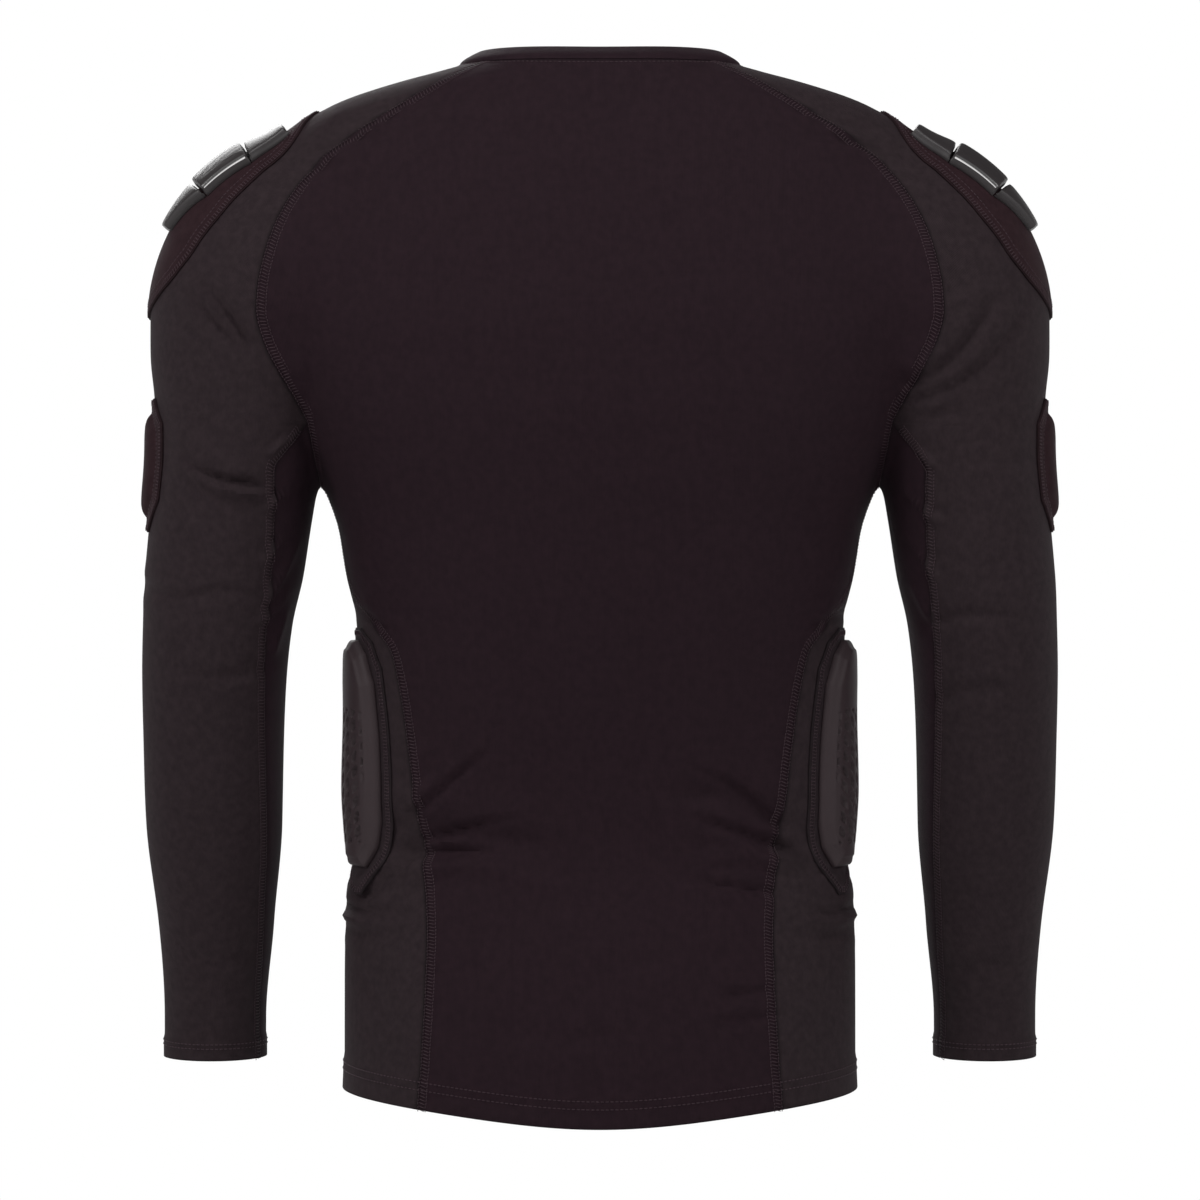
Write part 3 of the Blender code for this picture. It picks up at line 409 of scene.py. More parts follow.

# %% [markdown]
# ## Creases
# Stretched knit lies smooth except where the body bends: at the armpits, the elbows and the small of
# the back, and under the waist pads, whose stiff foam pushes the cloth into rolls. Each crease is
# given as a line of points in millimetres (across, up), with its own width and depth. A trough
# has a soft roll of cloth beside it.

# %% Creases placed one by one
Crease = namedtuple("Crease", "face width depth path")
NARROWER, SHALLOWER, INWARD_END = 0.35, 0.7, 1.5
ROLLS, ROLL_DEPTH = ((1, 1.9, 1.2), (0.6, -2.1, 1.3)), 0.28
NEAR_ACROSS, NEAR_UP, SIDE_FADE = 0.12, 0.10, 0.02
# (width, depth, line of (across, up)), all in millimetres; a depth below nought is a trough
BACK_CREASES = (
    (4.0, -3.6, ((-201, -188), (-214, -183), (-228, -170), (-248, -142), (-262, -118))),
    (3.4, -3.0, ((-205, -199), (-225, -191), (-252, -170), (-274, -136))),
    (5.0, -1.8, ((-212, -212), (-229, -206), (-243, -195))),
    (6.0, 1.4, ((-208, -178), (-226, -158), (-240, -130))),
    (6.0, 1.2, ((-222, -184), (-246, -164), (-262, -140))),
    (3.0, -4.0, ((221, -254), (241, -251), (254, -246), (264, -240))),
    (3.8, 3.0, ((222, -261), (240, -258), (256, -251), (263, -247))),
    (3.2, -4.4, ((226, -163), (234, -151), (244, -137), (258, -121))),
    (3.4, -3.6, ((228, -170), (238, -159), (250, -146), (264, -129))),
    (3.4, -2.4, ((184, -38), (160, -33), (134, -27))),
    (3.2, -2.1, ((180, -30), (150, -23), (120, -16))),
    (3.2, -1.8, ((171, -22), (142, -14), (116, -8))),
    (3.6, -1.6, ((188, -54), (168, -49), (146, -45))),
    (3.4, -2.2, ((-180, -40), (-156, -34), (-130, -30))),
    (3.2, -1.8, ((-172, -26), (-144, -19), (-118, -14))),
    (4.6, -6.0, ((122, -491), (108, -490), (90, -489), (70, -490))),
    (11.0, -4.6, ((118, -478), (96, -477), (66, -480), (36, -486))),
    (3.2, -3.2, ((119, -465), (106, -454), (92, -441), (70, -424))),
    (5.0, 1.4, ((112, -452), (96, -438), (78, -421))),
    (3.4, -3.6, ((119, -484), (101, -478), (82, -473), (52, -466))),
    (7.0, 2.0, ((115, -502), (90, -497), (60, -502), (24, -512))),
    (3.8, -4.6, ((152, -519), (137, -507), (124, -495))),
    (4.6, -5.2, ((-114, -487), (-98, -480), (-82, -474), (-64, -469))),
    (10.0, -4.2, ((-114, -474), (-98, -462), (-78, -452), (-48, -452))),
    (3.6, -2.8, ((-114, -472), (-98, -458), (-79, -444), (-58, -436))),
    (6.0, 1.8, ((-112, -498), (-90, -492), (-60, -494))),
    (3.6, -3.6, ((-109, -515), (-82, -511), (-56, -507))),
    (3.8, -4.6, ((-116, -484), (-130, -498), (-146, -518))),
    (3.6, -2.6, ((-84, -579), (-98, -577), (-112, -574))),
    (3.6, -2.4, ((-78, -595), (-94, -594), (-112, -590))),
    (8.0, -1.2, ((60, -600), (20, -604), (-40, -600))),
    (8.0, -1.0, ((-10, -560), (-50, -556), (-90, -561))),
    (2.8, -2.6, ((169, -526), (158, -529), (142, -527), (124, -530))),
    (3.4, 2.2, ((168, -533), (150, -536), (132, -533))),
    (3.4, -2.0, ((166, -541), (148, -545), (126, -540))),
    (2.8, -2.6, ((-167, -526), (-152, -530), (-134, -527))),
    (3.4, 2.2, ((-166, -533), (-146, -537), (-124, -534))),
    (3.6, -1.8, ((-160, -543), (-140, -546), (-118, -542))),
    (4.5, -1.6, ((150, -572), (138, -590), (130, -606))),
    (3.6, -2.0, ((153, -336), (143, -343), (132, -348))),
    (3.6, -2.2, ((-156, -336), (-144, -342), (-131, -348))),
    (4.5, -2.0, ((296, -318), (270, -326), (240, -322), (218, -328))),
    (4.5, -1.8, ((-218, -342), (-240, -337), (-268, -341))),
    (4.5, -1.5, ((222, -372), (246, -378), (270, -374))),
    (5.0, -1.5, ((-224, -390), (-246, -384), (-272, -390))),
    (5.0, -1.3, ((236, -560), (252, -566), (268, -561))),
    (5.0, -1.3, ((-238, -572), (-256, -566), (-272, -570))),
    (2.6, 2.6, ((210, -233), (200, -223))),
    (2.6, 3.0, ((213, -268), (204, -259), (194, -248))),
    (2.4, 2.4, ((214, -301), (206, -289), (198, -279))),
    (2.8, 3.0, ((214, -326), (205, -309), (197, -291))),
    (2.6, 2.5, ((219, -341), (210, -333), (203, -322))),
    (2.8, 2.4, ((213, -360), (207, -342), (203, -330))),
    (2.6, 2.5, ((-212, -240), (-203, -230))),
    (2.6, 2.9, ((-214, -276), (-204, -264), (-196, -254))),
    (2.5, 2.6, ((-215, -312), (-207, -298), (-199, -286))),
    (2.7, 2.4, ((-217, -344), (-209, -330), (-203, -318))),
)
FRONT_CREASES = (
    (4.5, -3.8, ((200, -186), (182, -176), (158, -156), (140, -132))),
    (4.0, -3.6, ((206, -210), (226, -204), (252, -186), (268, -160))),
    (4.0, -2.4, ((212, -228), (236, -220), (256, -206))),
    (4.5, -3.6, ((-200, -182), (-180, -170), (-152, -154))),
    (4.2, -3.6, ((-206, -206), (-228, -198), (-250, -180), (-264, -156))),
    (4.2, -2.4, ((-214, -224), (-238, -214), (-258, -198))),
    (5.0, -4.6, ((278, -330), (258, -342), (236, -347), (218, -344))),
    (4.5, -3.4, ((280, -366), (258, -362), (238, -368), (220, -364))),
    (5.0, -4.2, ((-276, -336), (-254, -344), (-232, -343), (-216, -350))),
    (4.5, -3.2, ((-278, -372), (-256, -366), (-234, -369))),
    (5.0, -3.4, ((118, -492), (96, -484), (66, -482))),
    (5.0, -3.2, ((-118, -488), (-92, -480), (-58, -484))),
    (6.0, -1.8, ((108, -440), (74, -430), (34, -436))),
    (6.0, -1.6, ((-106, -520), (-70, -512), (-28, -516))),
    (3.6, -2.4, ((160, -527), (140, -530), (118, -526))),
    (3.6, -2.4, ((-160, -526), (-138, -531), (-116, -527))),
)
FACES = ((1, BACK_CREASES), (-1, FRONT_CREASES))
CREASES = [Crease(face, *row) for face, creases in FACES for row in creases]


FAR = 9.0


def nearest(path, x, z):
    """How far each point lies from a crease's line and past its ends, and at what share of its length."""
    path = np.array(path, float) / 1000
    chord = lengths(path)
    curve = np.stack([smooth(chord, path[:, k])(np.linspace(0, chord[-1], 40)) for k in (0, 1)], 1)
    fine = at_lengths(curve, np.linspace(0, chord[-1], 16))
    best = np.full(x.shape, FAR)
    signed, beyond, share = np.zeros(x.shape), np.zeros(x.shape), np.zeros(x.shape)
    for i, (a, b) in enumerate(zip(fine[:-1], fine[1:])):
        way = b - a
        size = np.hypot(*way)
        along = ((x - a[0]) * way[0] + (z - a[1]) * way[1]) / size
        across = ((x - a[0]) * way[1] - (z - a[1]) * way[0]) / size
        early = np.minimum(along, 0)
        late = np.maximum(along - size, 0)
        apart = np.hypot(across, early + late)
        closer = apart < best
        best = np.where(closer, apart, best)
        signed = np.where(closer, across, signed)
        end = np.where(i == 0, -early, 0) + np.where(i == len(fine) - 2, late, 0)
        beyond = np.where(closer, end, beyond)
        share = np.where(closer, (i + np.clip(along / size, 0, 1)) / (len(fine) - 1), share)
    return signed, beyond, share


def creased(p):
    """How far the creases move each point out of the plain form."""
    out = np.zeros(p.shape[:-1])
    x, y, z = p[..., 0], p[..., 1], p[..., 2]
    middle = np.where(np.abs(x) > 0.2, arm_at["centre_y"](z), 0)
    for crease in CREASES:
        width, depth = crease.width / 1000, crease.depth / 1000
        centre_x, centre_z = np.mean(crease.path, axis=0) / 1000
        near = (np.abs(x - centre_x) < NEAR_ACROSS) & (np.abs(z - centre_z) < NEAR_UP)
        if not near.any():
            continue
        across, beyond, share = nearest(crease.path, x[near], z[near])
        width, depth = width * (1 - NARROWER * share), depth * (1 - SHALLOWER * share**2)
        facing = ease(crease.face * (y - middle)[near] / SIDE_FADE + 0.15)
        fade = np.exp(-((beyond / (INWARD_END * width)) ** 2))
        trough = np.exp(-((across / width) ** 2))
        roll = sum(size * np.exp(-(((across - off * width) / (wide * width)) ** 2))
                   for size, off, wide in ROLLS)
        out[near] += depth * facing * fade * (trough - ROLL_DEPTH * roll)
    return out


print("creases", len(CREASES))

# %% [markdown]
# ## From grids to cloth
# Cloth is thin but not flat: seen at a hem or a neck it has an edge. So each panel is a closed shell of
# two grids, the figure's side and the outside, joined round the rim. A solidify modifier would do it
# too, but working from the two grids lets the hem be doubled and the rim dip where the sewing pulls it
# down.


# %% Helpers for shells
SHARP_ANGLE = 52


def rim_line(p):
    return np.concatenate([p[:, 0], p[-1, 1:], p[-2::-1, -1], p[0, -2::-1]])


def away_from(line, p):
    """Each point's distance to the nearest place on a line."""
    best = np.full(p.shape[:-1], FAR)
    for a, b in zip(line[:-1], line[1:]):
        way = b - a
        size = way @ way
        if size < 1e-14:
            continue
        t = np.clip((p - a) @ way / size, 0, 1)
        best = np.minimum(best, np.linalg.norm(p - a - t[..., None] * way, axis=-1))
    return best


def put_in_scene(name, data):
    made = bpy.data.objects.new(name, data)
    bpy.context.scene.collection.objects.link(made)
    return made


def mesh_object(name, vertices, faces, material, uv, rim):
    """A mesh with its cloth map, and each point's distance from the rim, which the knit finishes read to
    paint shade along the seams.
    """
    mesh = bpy.data.meshes.new(name)
    mesh.from_pydata(vertices.reshape(-1, 3).tolist(), [], faces.tolist())
    mesh.materials.append(material)
    layer = mesh.uv_layers.new(name="cloth")
    corners = np.empty(len(mesh.loops), np.int32)
    mesh.loops.foreach_get("vertex_index", corners)
    layer.data.foreach_set("uv", uv.reshape(-1, 2)[corners].astype(np.float32).ravel())
    layer = mesh.attributes.new("rim", "FLOAT", "POINT")
    layer.data.foreach_set("value", rim.astype(np.float32).ravel())
    mesh.shade_smooth()
    mesh.set_sharp_from_angle(angle=math.radians(SHARP_ANGLE))
    return put_in_scene(name, mesh)


def facing_out(outer, inner):
    """Whether faces wound row first show their front outwards."""
    i, j = outer.shape[0] // 2, outer.shape[1] // 2
    normal = np.cross(outer[i + 1, j] - outer[i, j], outer[i, j + 1] - outer[i, j])
    return normal @ (outer[i, j] - inner[i, j]) > 0


def shell(name, inner, outer, material, rim):
    """A closed wall between two grids of points, joined round the rim."""
    rows, columns = outer.shape[:2]
    index = np.arange(rows * columns).reshape(rows, columns)
    top = np.stack([index[:-1, :-1], index[1:, :-1], index[1:, 1:], index[:-1, 1:]], axis=-1).reshape(-1, 4)
    edge = np.concatenate([index[:, 0], index[-1, 1:], index[-2::-1, -1], index[0, -2::-1]])
    under = rows * columns
    side = np.stack([edge[1:], edge[:-1], edge[:-1] + under, edge[1:] + under], axis=-1)
    faces = np.concatenate([top, top[:, ::-1] + under, side])
    if not facing_out(outer, inner):
        faces = faces[:, ::-1]
    across = np.stack([lengths(row) for row in outer])
    across -= across[:, columns // 2 : columns // 2 + 1]
    down = np.repeat(lengths(outer[:, columns // 2])[:, None], columns, axis=1)
    uv = np.stack([across, -down], axis=-1)
    vertices, uv, rim = (np.stack(pair) for pair in ((outer, inner), (uv, uv), (rim, rim)))
    return mesh_object(name, vertices, faces, material, uv, rim)


# %% [markdown]
# ## Cloth and its colour
# Every finish here is drawn from numbers, with no picture. The knit is a bump of loops whose pitch is
# the real one, in metres, laid by the cloth's own UV, so it follows the panel. A little sheen gives the
# soft bloom that fine nylon filaments have at grazing angles.


# %% Colour and node helpers
SEAM_REACH = 0.0022


def linear(hex_colour):
    """A colour picked off a screen, as the renderer wants it."""
    parts = [int(hex_colour[i : i + 2], 16) / 255 for i in (1, 3, 5)]
    return [c / 12.92 if c <= 0.04045 else ((c + 0.055) / 1.055) ** 2.4 for c in parts] + [1.0]


def add(tree, kind, settings=None, **inputs):
    """One node with its settings, and each input given as a value or as another node's output."""
    made = tree.nodes.new(kind)
    for key, value in (settings or {}).items():
        setattr(made, key, value)
    for key, value in inputs.items():
        numbered = key[0] == "i" and key[1:].isdigit()
        socket = made.inputs[int(key[1:]) if numbered else key.replace("_", " ")]
        if isinstance(value, bpy.types.NodeSocket):
            tree.links.new(value, socket)
        else:
            socket.default_value = value
    return made


def new_material(name):
    made = bpy.data.materials.new(name)
    made.use_nodes = True
    made.node_tree.nodes.clear()
    return made, made.node_tree


def finish_material(tree, **sockets):
    shader = add(tree, "ShaderNodeBsdfPrincipled", **sockets)
    add(tree, "ShaderNodeOutputMaterial", Surface=shader.outputs[0])


TIMES, TIMES_PLUS, SINE, ABSOLUTE, SCALE = (
    {"operation": kind} for kind in ("MULTIPLY", "MULTIPLY_ADD", "SINE", "ABSOLUTE", "SCALE"))
TWO_COLOURS = {"data_type": "RGBA"}


def knitted(name, dark, light, heather, wale=0.0009, course=0.0007, bump=0.5):
    """Fine knit: columns of loops, a slightly mixed yarn, and painted shade: a darker line along each rim,
    where a seam pulls the cloth in.
    """
    made, tree = new_material(name)
    uv = add(tree, "ShaderNodeUVMap", {"uv_map": "cloth"}).outputs[0]
    turns = (2 * math.pi / wale, 2 * math.pi / course, 0)
    phase = add(tree, "ShaderNodeVectorMath", TIMES, i0=uv, i1=turns).outputs[0]
    parts = add(tree, "ShaderNodeSeparateXYZ", i0=phase).outputs
    column = add(tree, "ShaderNodeMath", SINE, i0=parts[0]).outputs[0]
    slant = add(tree, "ShaderNodeMath", ABSOLUTE, i0=column).outputs[0]
    row = add(tree, "ShaderNodeMath", TIMES_PLUS, i0=slant, i1=1.8, i2=parts[1]).outputs[0]
    loop = add(tree, "ShaderNodeMath", SINE, i0=row).outputs[0]
    height = add(tree, "ShaderNodeMath", TIMES_PLUS, i0=loop, i1=0.6, i2=column).outputs[0]
    place = add(tree, "ShaderNodeTexCoord").outputs["Object"]
    streak = add(tree, "ShaderNodeVectorMath", TIMES, i0=uv, i1=(1400, 260, 0)).outputs[0]
    yarn = add(tree, "ShaderNodeTexNoise", Vector=streak, Scale=1.0, Detail=2.0).outputs[0]
    cloud = add(tree, "ShaderNodeTexNoise", Vector=place, Scale=210.0, Detail=3.0).outputs[0]
    both = add(tree, "ShaderNodeMath", TIMES_PLUS, i0=yarn, i1=heather, i2=cloud).outputs[0]
    ends = 0.35 + 0.3 * heather, 0.65 + 0.7 * heather
    share = add(tree, "ShaderNodeMapRange", i0=both, i1=ends[0], i2=ends[1]).outputs[0]
    colour = add(tree, "ShaderNodeMix", TWO_COLOURS, i0=share, i6=linear(dark), i7=linear(light)).outputs[2]
    # Painted shade: the colour darkens to 0.55 of itself at each piece's rim, easing back within
    # SEAM_REACH, for the shade where seams and folded edges dip.
    rim = add(tree, "ShaderNodeAttribute", {"attribute_name": "rim"}).outputs["Fac"]
    seam = add(tree, "ShaderNodeMapRange", i0=rim, i1=0.0, i2=SEAM_REACH, i3=0.55, i4=1.0).outputs[0]
    shaded = add(tree, "ShaderNodeVectorMath", SCALE, i0=colour, Scale=seam).outputs[0]
    normal = add(tree, "ShaderNodeBump", Height=height, Strength=bump, Distance=0.00012).outputs[0]
    finish_material(tree, Base_Color=shaded, Roughness=0.78, Normal=normal, Sheen_Weight=0.02,
                    Sheen_Roughness=0.4, Sheen_Tint=linear("#c9b8c0"), IOR=1.5, Specular_IOR_Level=0.1)
    return made


# Near-black aubergine with a faint reddish life in the light: the body of the shirt.
AUBERGINE_KNIT = knitted("knitted_nylon_elastane_aubergine", "#1b0f15", "#21141a", 0.2)
# Charcoal marl, a little lighter and greyer, with mixed yarns: sleeves and side panels.
CHARCOAL_KNIT = knitted("knitted_nylon_elastane_charcoal", "#20181b", "#2a2124", 0.5)
DENSE = {"wale": 0.0007, "course": 0.0006, "bump": 0.35}
# The flange that carries the waist pad: the side panel's charcoal, in a denser and flatter knit.
FLANGE_COVER = knitted("knitted_polyester_flange_cover", "#1f171a", "#271f22", 0.3, **DENSE)
# Brown-black stretch cover of the pads: denser, so a finer and flatter knit.
PAD_COVER = knitted("knitted_polyester_pad_cover", "#201115", "#27171b", 0.2, **DENSE)


def matt(name, dark, light, roughness, grain, depth, **more):
    """A plain surface with a fine grain of the given size."""
    made, tree = new_material(name)
    place = add(tree, "ShaderNodeTexCoord").outputs["Object"]
    noise = add(tree, "ShaderNodeTexNoise", Vector=place, Scale=1 / grain, Detail=3.0).outputs[0]
    colour = add(tree, "ShaderNodeMix", TWO_COLOURS, i0=noise, i6=linear(dark), i7=linear(light)).outputs[2]
    normal = add(tree, "ShaderNodeBump", Height=noise, Strength=0.3, Distance=depth).outputs[0]
    finish_material(tree, Base_Color=colour, Roughness=roughness, Normal=normal, **more)
    return made


# Moulded foam skin: dark brown-grey, nearly matt, with a leathery micro grain.
FOAM_SKIN = matt("moulded_eva_foam_skin", "#271d20", "#2f2427", 0.6, 0.0012, 0.0001, IOR=1.5,
                 Specular_IOR_Level=0.25)
# Satin moulded rubber: the shoulder plates shine softly because the mould was sand-blasted.
SATIN_RUBBER = matt("moulded_rubber_satin", "#242021", "#2b2728", 0.44, 0.0008, 0.00004, IOR=1.5,
                    Specular_IOR_Level=0.35)
# Near-white polished metal on the middle plate's back bevel, standing in for a highlight: a painted glint,
# the one bright line on the shirt.
PAINTED_GLINT_EDGE = matt("metallised_edge_polished", "#d8d6d6", "#e6e4e4", 0.16, 0.004, 0.00001, Metallic=1.0)
# Polyester sewing thread, a tone lighter than the cloth, so that seams read.
THREAD = matt("polyester_thread", "#302127", "#3b2a31", 0.5, 0.0006, 0.00005, IOR=1.5,
              Specular_IOR_Level=0.3)
print("materials", len(bpy.data.materials))

# %% [markdown]
# ## The panels in cloth
# The outside is the figure's form plus creases plus the cloth's thickness, doubled at the turned-up hem
# and cuff.


# %% Dress the panels
HEM_STEP, SEAM_PULL = 0.003, 0.00035


def cloth_of(p, hem_depth):
    """Inner and outer points of a panel, creased, its hem doubled and its rim pulled down by the seam."""
    normal = normals_at(p)
    inner = p + creased(p)[..., None] * normal
    rim = away_from(rim_line(p), p)
    to_hem = away_from(p[-1], p)
    fold = ease((hem_depth + HEM_STEP / 2 - to_hem) / HEM_STEP)
    thick = CLOTH + (HEM_CLOTH - CLOTH) * fold
    sewn = np.exp(-((rim / SEAM_REACH) ** 2)) * (to_hem > HEM_STEP)
    return inner, inner + (thick - SEAM_PULL * sewn)[..., None] * normal, rim


def parted(p, gap=0.00005):
    """Pull a panel's side edges in by a hair so that neighbours don't touch."""
    p = p.copy()
    for edge, next_ in ((0, 1), (-1, -2)):
        way = p[:, next_] - p[:, edge]
        p[:, edge] += gap * way / np.maximum(np.linalg.norm(way, axis=1, keepdims=True), 1e-9)
    return p


PIECES = {}
CLOTHS = {
    "back_panel": (AUBERGINE_KNIT, HEM_DEPTH),
    "front_panel": (AUBERGINE_KNIT, HEM_DEPTH),
    "side_panel": (CHARCOAL_KNIT, HEM_DEPTH),
    "underarm": (AUBERGINE_KNIT, CUFF_DEPTH),
    "sleeve": (CHARCOAL_KNIT, CUFF_DEPTH),
}
SIDES = (("left", 1), ("right", -1))
OUTER = {}
for name, (material, hem_depth) in CLOTHS.items():
    whole = name in ("back_panel", "front_panel")
    for side, sign in (("", 1),) if whole else SIDES:
        grid = parted(GRIDS[name]) * [sign, 1, 1]
        inner, outer, rim = cloth_of(grid, hem_depth)
        node = name if whole else f"{name}_{side}"
        PIECES[node] = shell(f"{node}_cloth", inner, outer, material, rim)
        OUTER[node] = outer
        print(node, len(PIECES[node].data.polygons), "faces")

# %% [markdown]
# The collar is a narrow band folded double, so its upper edge is round. It is swept round the neck seam
# as a flattened loop.

# %% Collar
COLLAR_IN, COLLAR_UP = 0.012, 0.0085
turns = np.linspace(0, 360, 240, endpoint=False)
seam = neck_seam(turns)
turn = np.radians(turns)
inwards = -np.stack([np.sin(turn), np.cos(turn), 0 * turn], axis=1)
up = np.array([0, 0, 1.0])
seam_normal = normals_at(seam)


def collar_at(t):
    lean = np.interp(t, [0, 0.4, 1], [0, 0.3, 0.5])
    height = COLLAR_UP * (0.6 * t + 0.4 * math.sqrt(t))
    middle = seam + (0.0003 + COLLAR_IN * t**1.2) * inwards + height * up
    return middle, unit(seam_normal + lean * up)


profile = []
for t in np.linspace(0, 1, 9):
    middle, rise = collar_at(t)
    profile.append(middle + (HEM_CLOTH - 0.0004 * math.exp(-((t / 0.1) ** 2))) * rise)
last, rise = collar_at(1.0)
tip = unit(last - collar_at(0.9)[0])
for angle in np.radians([60, 20, -20, -60]):
    profile.append(last + 0.5 * HEM_CLOTH * (rise * (1 + math.sin(angle)) + tip * math.cos(angle)))
for t in np.linspace(1, 0, 9):
    middle, rise = collar_at(t)
    profile.append(middle + 0.0002 * rise)
profile = np.stack(profile)
rows, columns = profile.shape[:2]
index = np.arange(rows * columns).reshape(rows, columns)
next_row, next_column = np.roll(index, -1, axis=0), np.roll(index, -1, axis=1)
faces = np.stack([index, next_row, np.roll(next_row, -1, axis=1), next_column], axis=-1).reshape(-1, 4)
a, b, c, _ = profile.reshape(-1, 3)[faces[4 * columns]]
if np.cross(b - a, c - a) @ rise[0] < 0:
    faces = faces[:, ::-1]
band = lengths(profile[:, 0])
uv = np.stack(np.broadcast_arrays(turns[None] / 360 * 0.52, -band[:, None]), axis=-1)
away = np.full(profile.shape[:2], 0.01)
PIECES["collar"] = mesh_object("collar_cloth", profile, faces, AUBERGINE_KNIT, uv, away)
print("collar band, mm wide", round(float(band[8]) * 1000, 1))

# %% [markdown]
# ## Pads
# The pads are cut as flat shapes and sewn or moulded on. Here each is a fine grid on the figure, and
# its height depends only on how far a point lies from the pad's own rim: a table of distances and
# heights, in millimetres, draws folded edges, stitch grooves and bevels all round in one go.

# %% Outlines and edge profiles of the pads
Patch = namedtuple("Patch", "along half_width")
SHOULDER_PATCH = [Patch(*row) for row in (
    (0.099, 0.006), (0.108, 0.017), (0.123, 0.031), (0.144, 0.045), (0.174, 0.056), (0.204, 0.061),
    (0.231, 0.060), (0.254, 0.052), (0.272, 0.034), (0.284, 0.009),
)]
Plate = namedtuple("Plate", "name start end half_start half_end rise ribs")
SHOULDER_PLATES = (
    Plate("inner", 0.1235, 0.1530, 0.0215, 0.0335, 6.0, 0.0),
    Plate("middle", 0.1540, 0.1920, 0.0345, 0.0380, 7.4, 0.3),
    Plate("outer", 0.1930, 0.2250, 0.0370, 0.0240, 6.2, 0.0),
)
ArmPad = namedtuple("ArmPad", "height half_turn")
ARM_PAD = [ArmPad(*row) for row in (
    (-0.197, 19), (-0.214, 35), (-0.238, 37), (-0.264, 36), (-0.284, 19),
)]
WaistPad = namedtuple("WaistPad", "height back_y front_y")
WAIST_FLANGE = [WaistPad(*row) for row in (
    (-0.346, 0.029, -0.022), (-0.355, 0.041, -0.033), (-0.372, 0.0465, -0.0385),
    (-0.410, 0.0465, -0.0400), (-0.450, 0.0450, -0.0380), (-0.475, 0.0440, -0.027),
    (-0.497, 0.0415, -0.006), (-0.511, 0.0380, 0.018), (-0.519, 0.0345, 0.028),
)]
WAIST_BLOCK = [WaistPad(*row) for row in (
    (-0.354, 0.025, -0.017), (-0.363, 0.035, -0.026), (-0.382, 0.0405, -0.0315),
    (-0.415, 0.0410, -0.0335), (-0.450, 0.0400, -0.0315), (-0.472, 0.0390, -0.020),
    (-0.488, 0.0365, -0.002), (-0.502, 0.0320, 0.014),
)]
# (distance in from the rim, height), millimetres
SEWN_EDGE = ((0, 0.8), (0.6, 1.55), (1.7, 1.6), (2.4, 1.3), (3.1, 1.65), (7.2, 1.7),
             (7.9, 1.35), (8.6, 1.6), (12, 1.5), (60, 1.5))
ARM_EDGE = ((0, 0.8), (0.6, 1.6), (1.7, 1.7), (2.4, 1.35), (3.1, 1.8), (7.8, 1.9),
            (8.6, 1.5), (9.6, 2.3), (13, 4.9), (18, 6.4), (28, 7.0), (60, 7.0))
FLANGE_EDGE = ((0, 0.7), (0.5, 1.4), (1.3, 1.45), (1.9, 1.1), (2.5, 1.4), (3.6, 1.35),
               (4.2, 0.9), (5.0, 1.3), (60, 1.5))
BLOCK_EDGE = ((0, 2.6), (0.5, 3.4), (5.4, 6.6), (6.4, 7.6), (16, 8.6), (30, 9.0), (60, 9.0))
OFF_CLOTH, ON_BASE, ROUND_ARM = 0.00015, 0.0015 + 0.0002, 0.062


def height_by(profile, rim):
    return smooth(*zip(*profile))(rim * 1000) / 1000


def between(table, name, heights):
    return np.interp(-heights, [-row.height for row in table], [getattr(row, name) for row in table])


def on_shoulder(along, across):
    """Points on the shoulder, by how far along the ridge and across it they lie."""
    along, across = np.broadcast_arrays(along, across)
    foot = at_lengths(ridge, along)
    out = normals_at(foot)
    tangent = unit(at_lengths(ridge, along + 0.004) - at_lengths(ridge, along - 0.004))
    back = unit(np.cross(out, tangent))
    back = np.where(back[..., 1:2] < 0, -back, back)
    turn = (across / ROUND_ARM)[..., None]
    return surface(foot - ROUND_ARM * out, np.cos(turn) * out + np.sin(turn) * back)


def on_flank(table, heights, shares):
    back, front = (between(table, name, heights)[:, None] for name in ("back_y", "front_y"))
    y = back + (front - back) * shares[None]
    z = np.broadcast_to(heights[:, None], y.shape)
    return surface(np.stack([0 * y, y, z], axis=-1), np.stack([1 + 0 * y, 0 * y, 0 * y], axis=-1))


def pad(node, p, lift, profile, material, relief=None, rim=None):
    """A pad on both sides: its underside lies on what is below, and its top follows the edge profile."""
    normal = normals_at(p)
    rim = away_from(rim_line(p), p) if rim is None else rim
    height = height_by(profile, rim)
    if relief is not None:
        height = height + relief(p, rim)
    for side, sign in SIDES:
        q = p * [sign, 1, 1]
        n = normal * [sign, 1, 1]
        base = q + (CLOTH + OFF_CLOTH + lift + np.maximum(creased(q), 0))[..., None] * n
        name = f"{node}_{side}"
        OUTER[name] = base + height[..., None] * n
        PIECES[name] = shell(f"{name}_fine", base, OUTER[name], material, rim)
    RIM[node] = rim


RIM = {}
first, last = SHOULDER_PATCH[0].along, SHOULDER_PATCH[-1].along
along = (first + (last - first) * np.linspace(0, 1, 84))[:, None]
across = columns_of(SHOULDER_PATCH)["half_width"](along) * np.linspace(1, -1, 46)[None]
pad("shoulder_patch", on_shoulder(along, across), 0, SEWN_EDGE, PAD_COVER)
z = np.linspace(ARM_PAD[0].height, ARM_PAD[-1].height, 60)[:, None]
half = np.radians(between(ARM_PAD, "half_turn", z))
pad("arm_pad", on_arm(math.pi + half * np.linspace(1, -1, 50)[None], z), 0, ARM_EDGE, PAD_COVER)
z = np.linspace(WAIST_FLANGE[0].height, WAIST_FLANGE[-1].height, 96)
pad("waist_pad_flange", on_flank(WAIST_FLANGE, z, np.linspace(0, 1, 52)), 0, FLANGE_EDGE, FLANGE_COVER)
print({name: round(float(rim.max()) * 1000, 1) for name, rim in RIM.items()}, "mm from rim to middle")

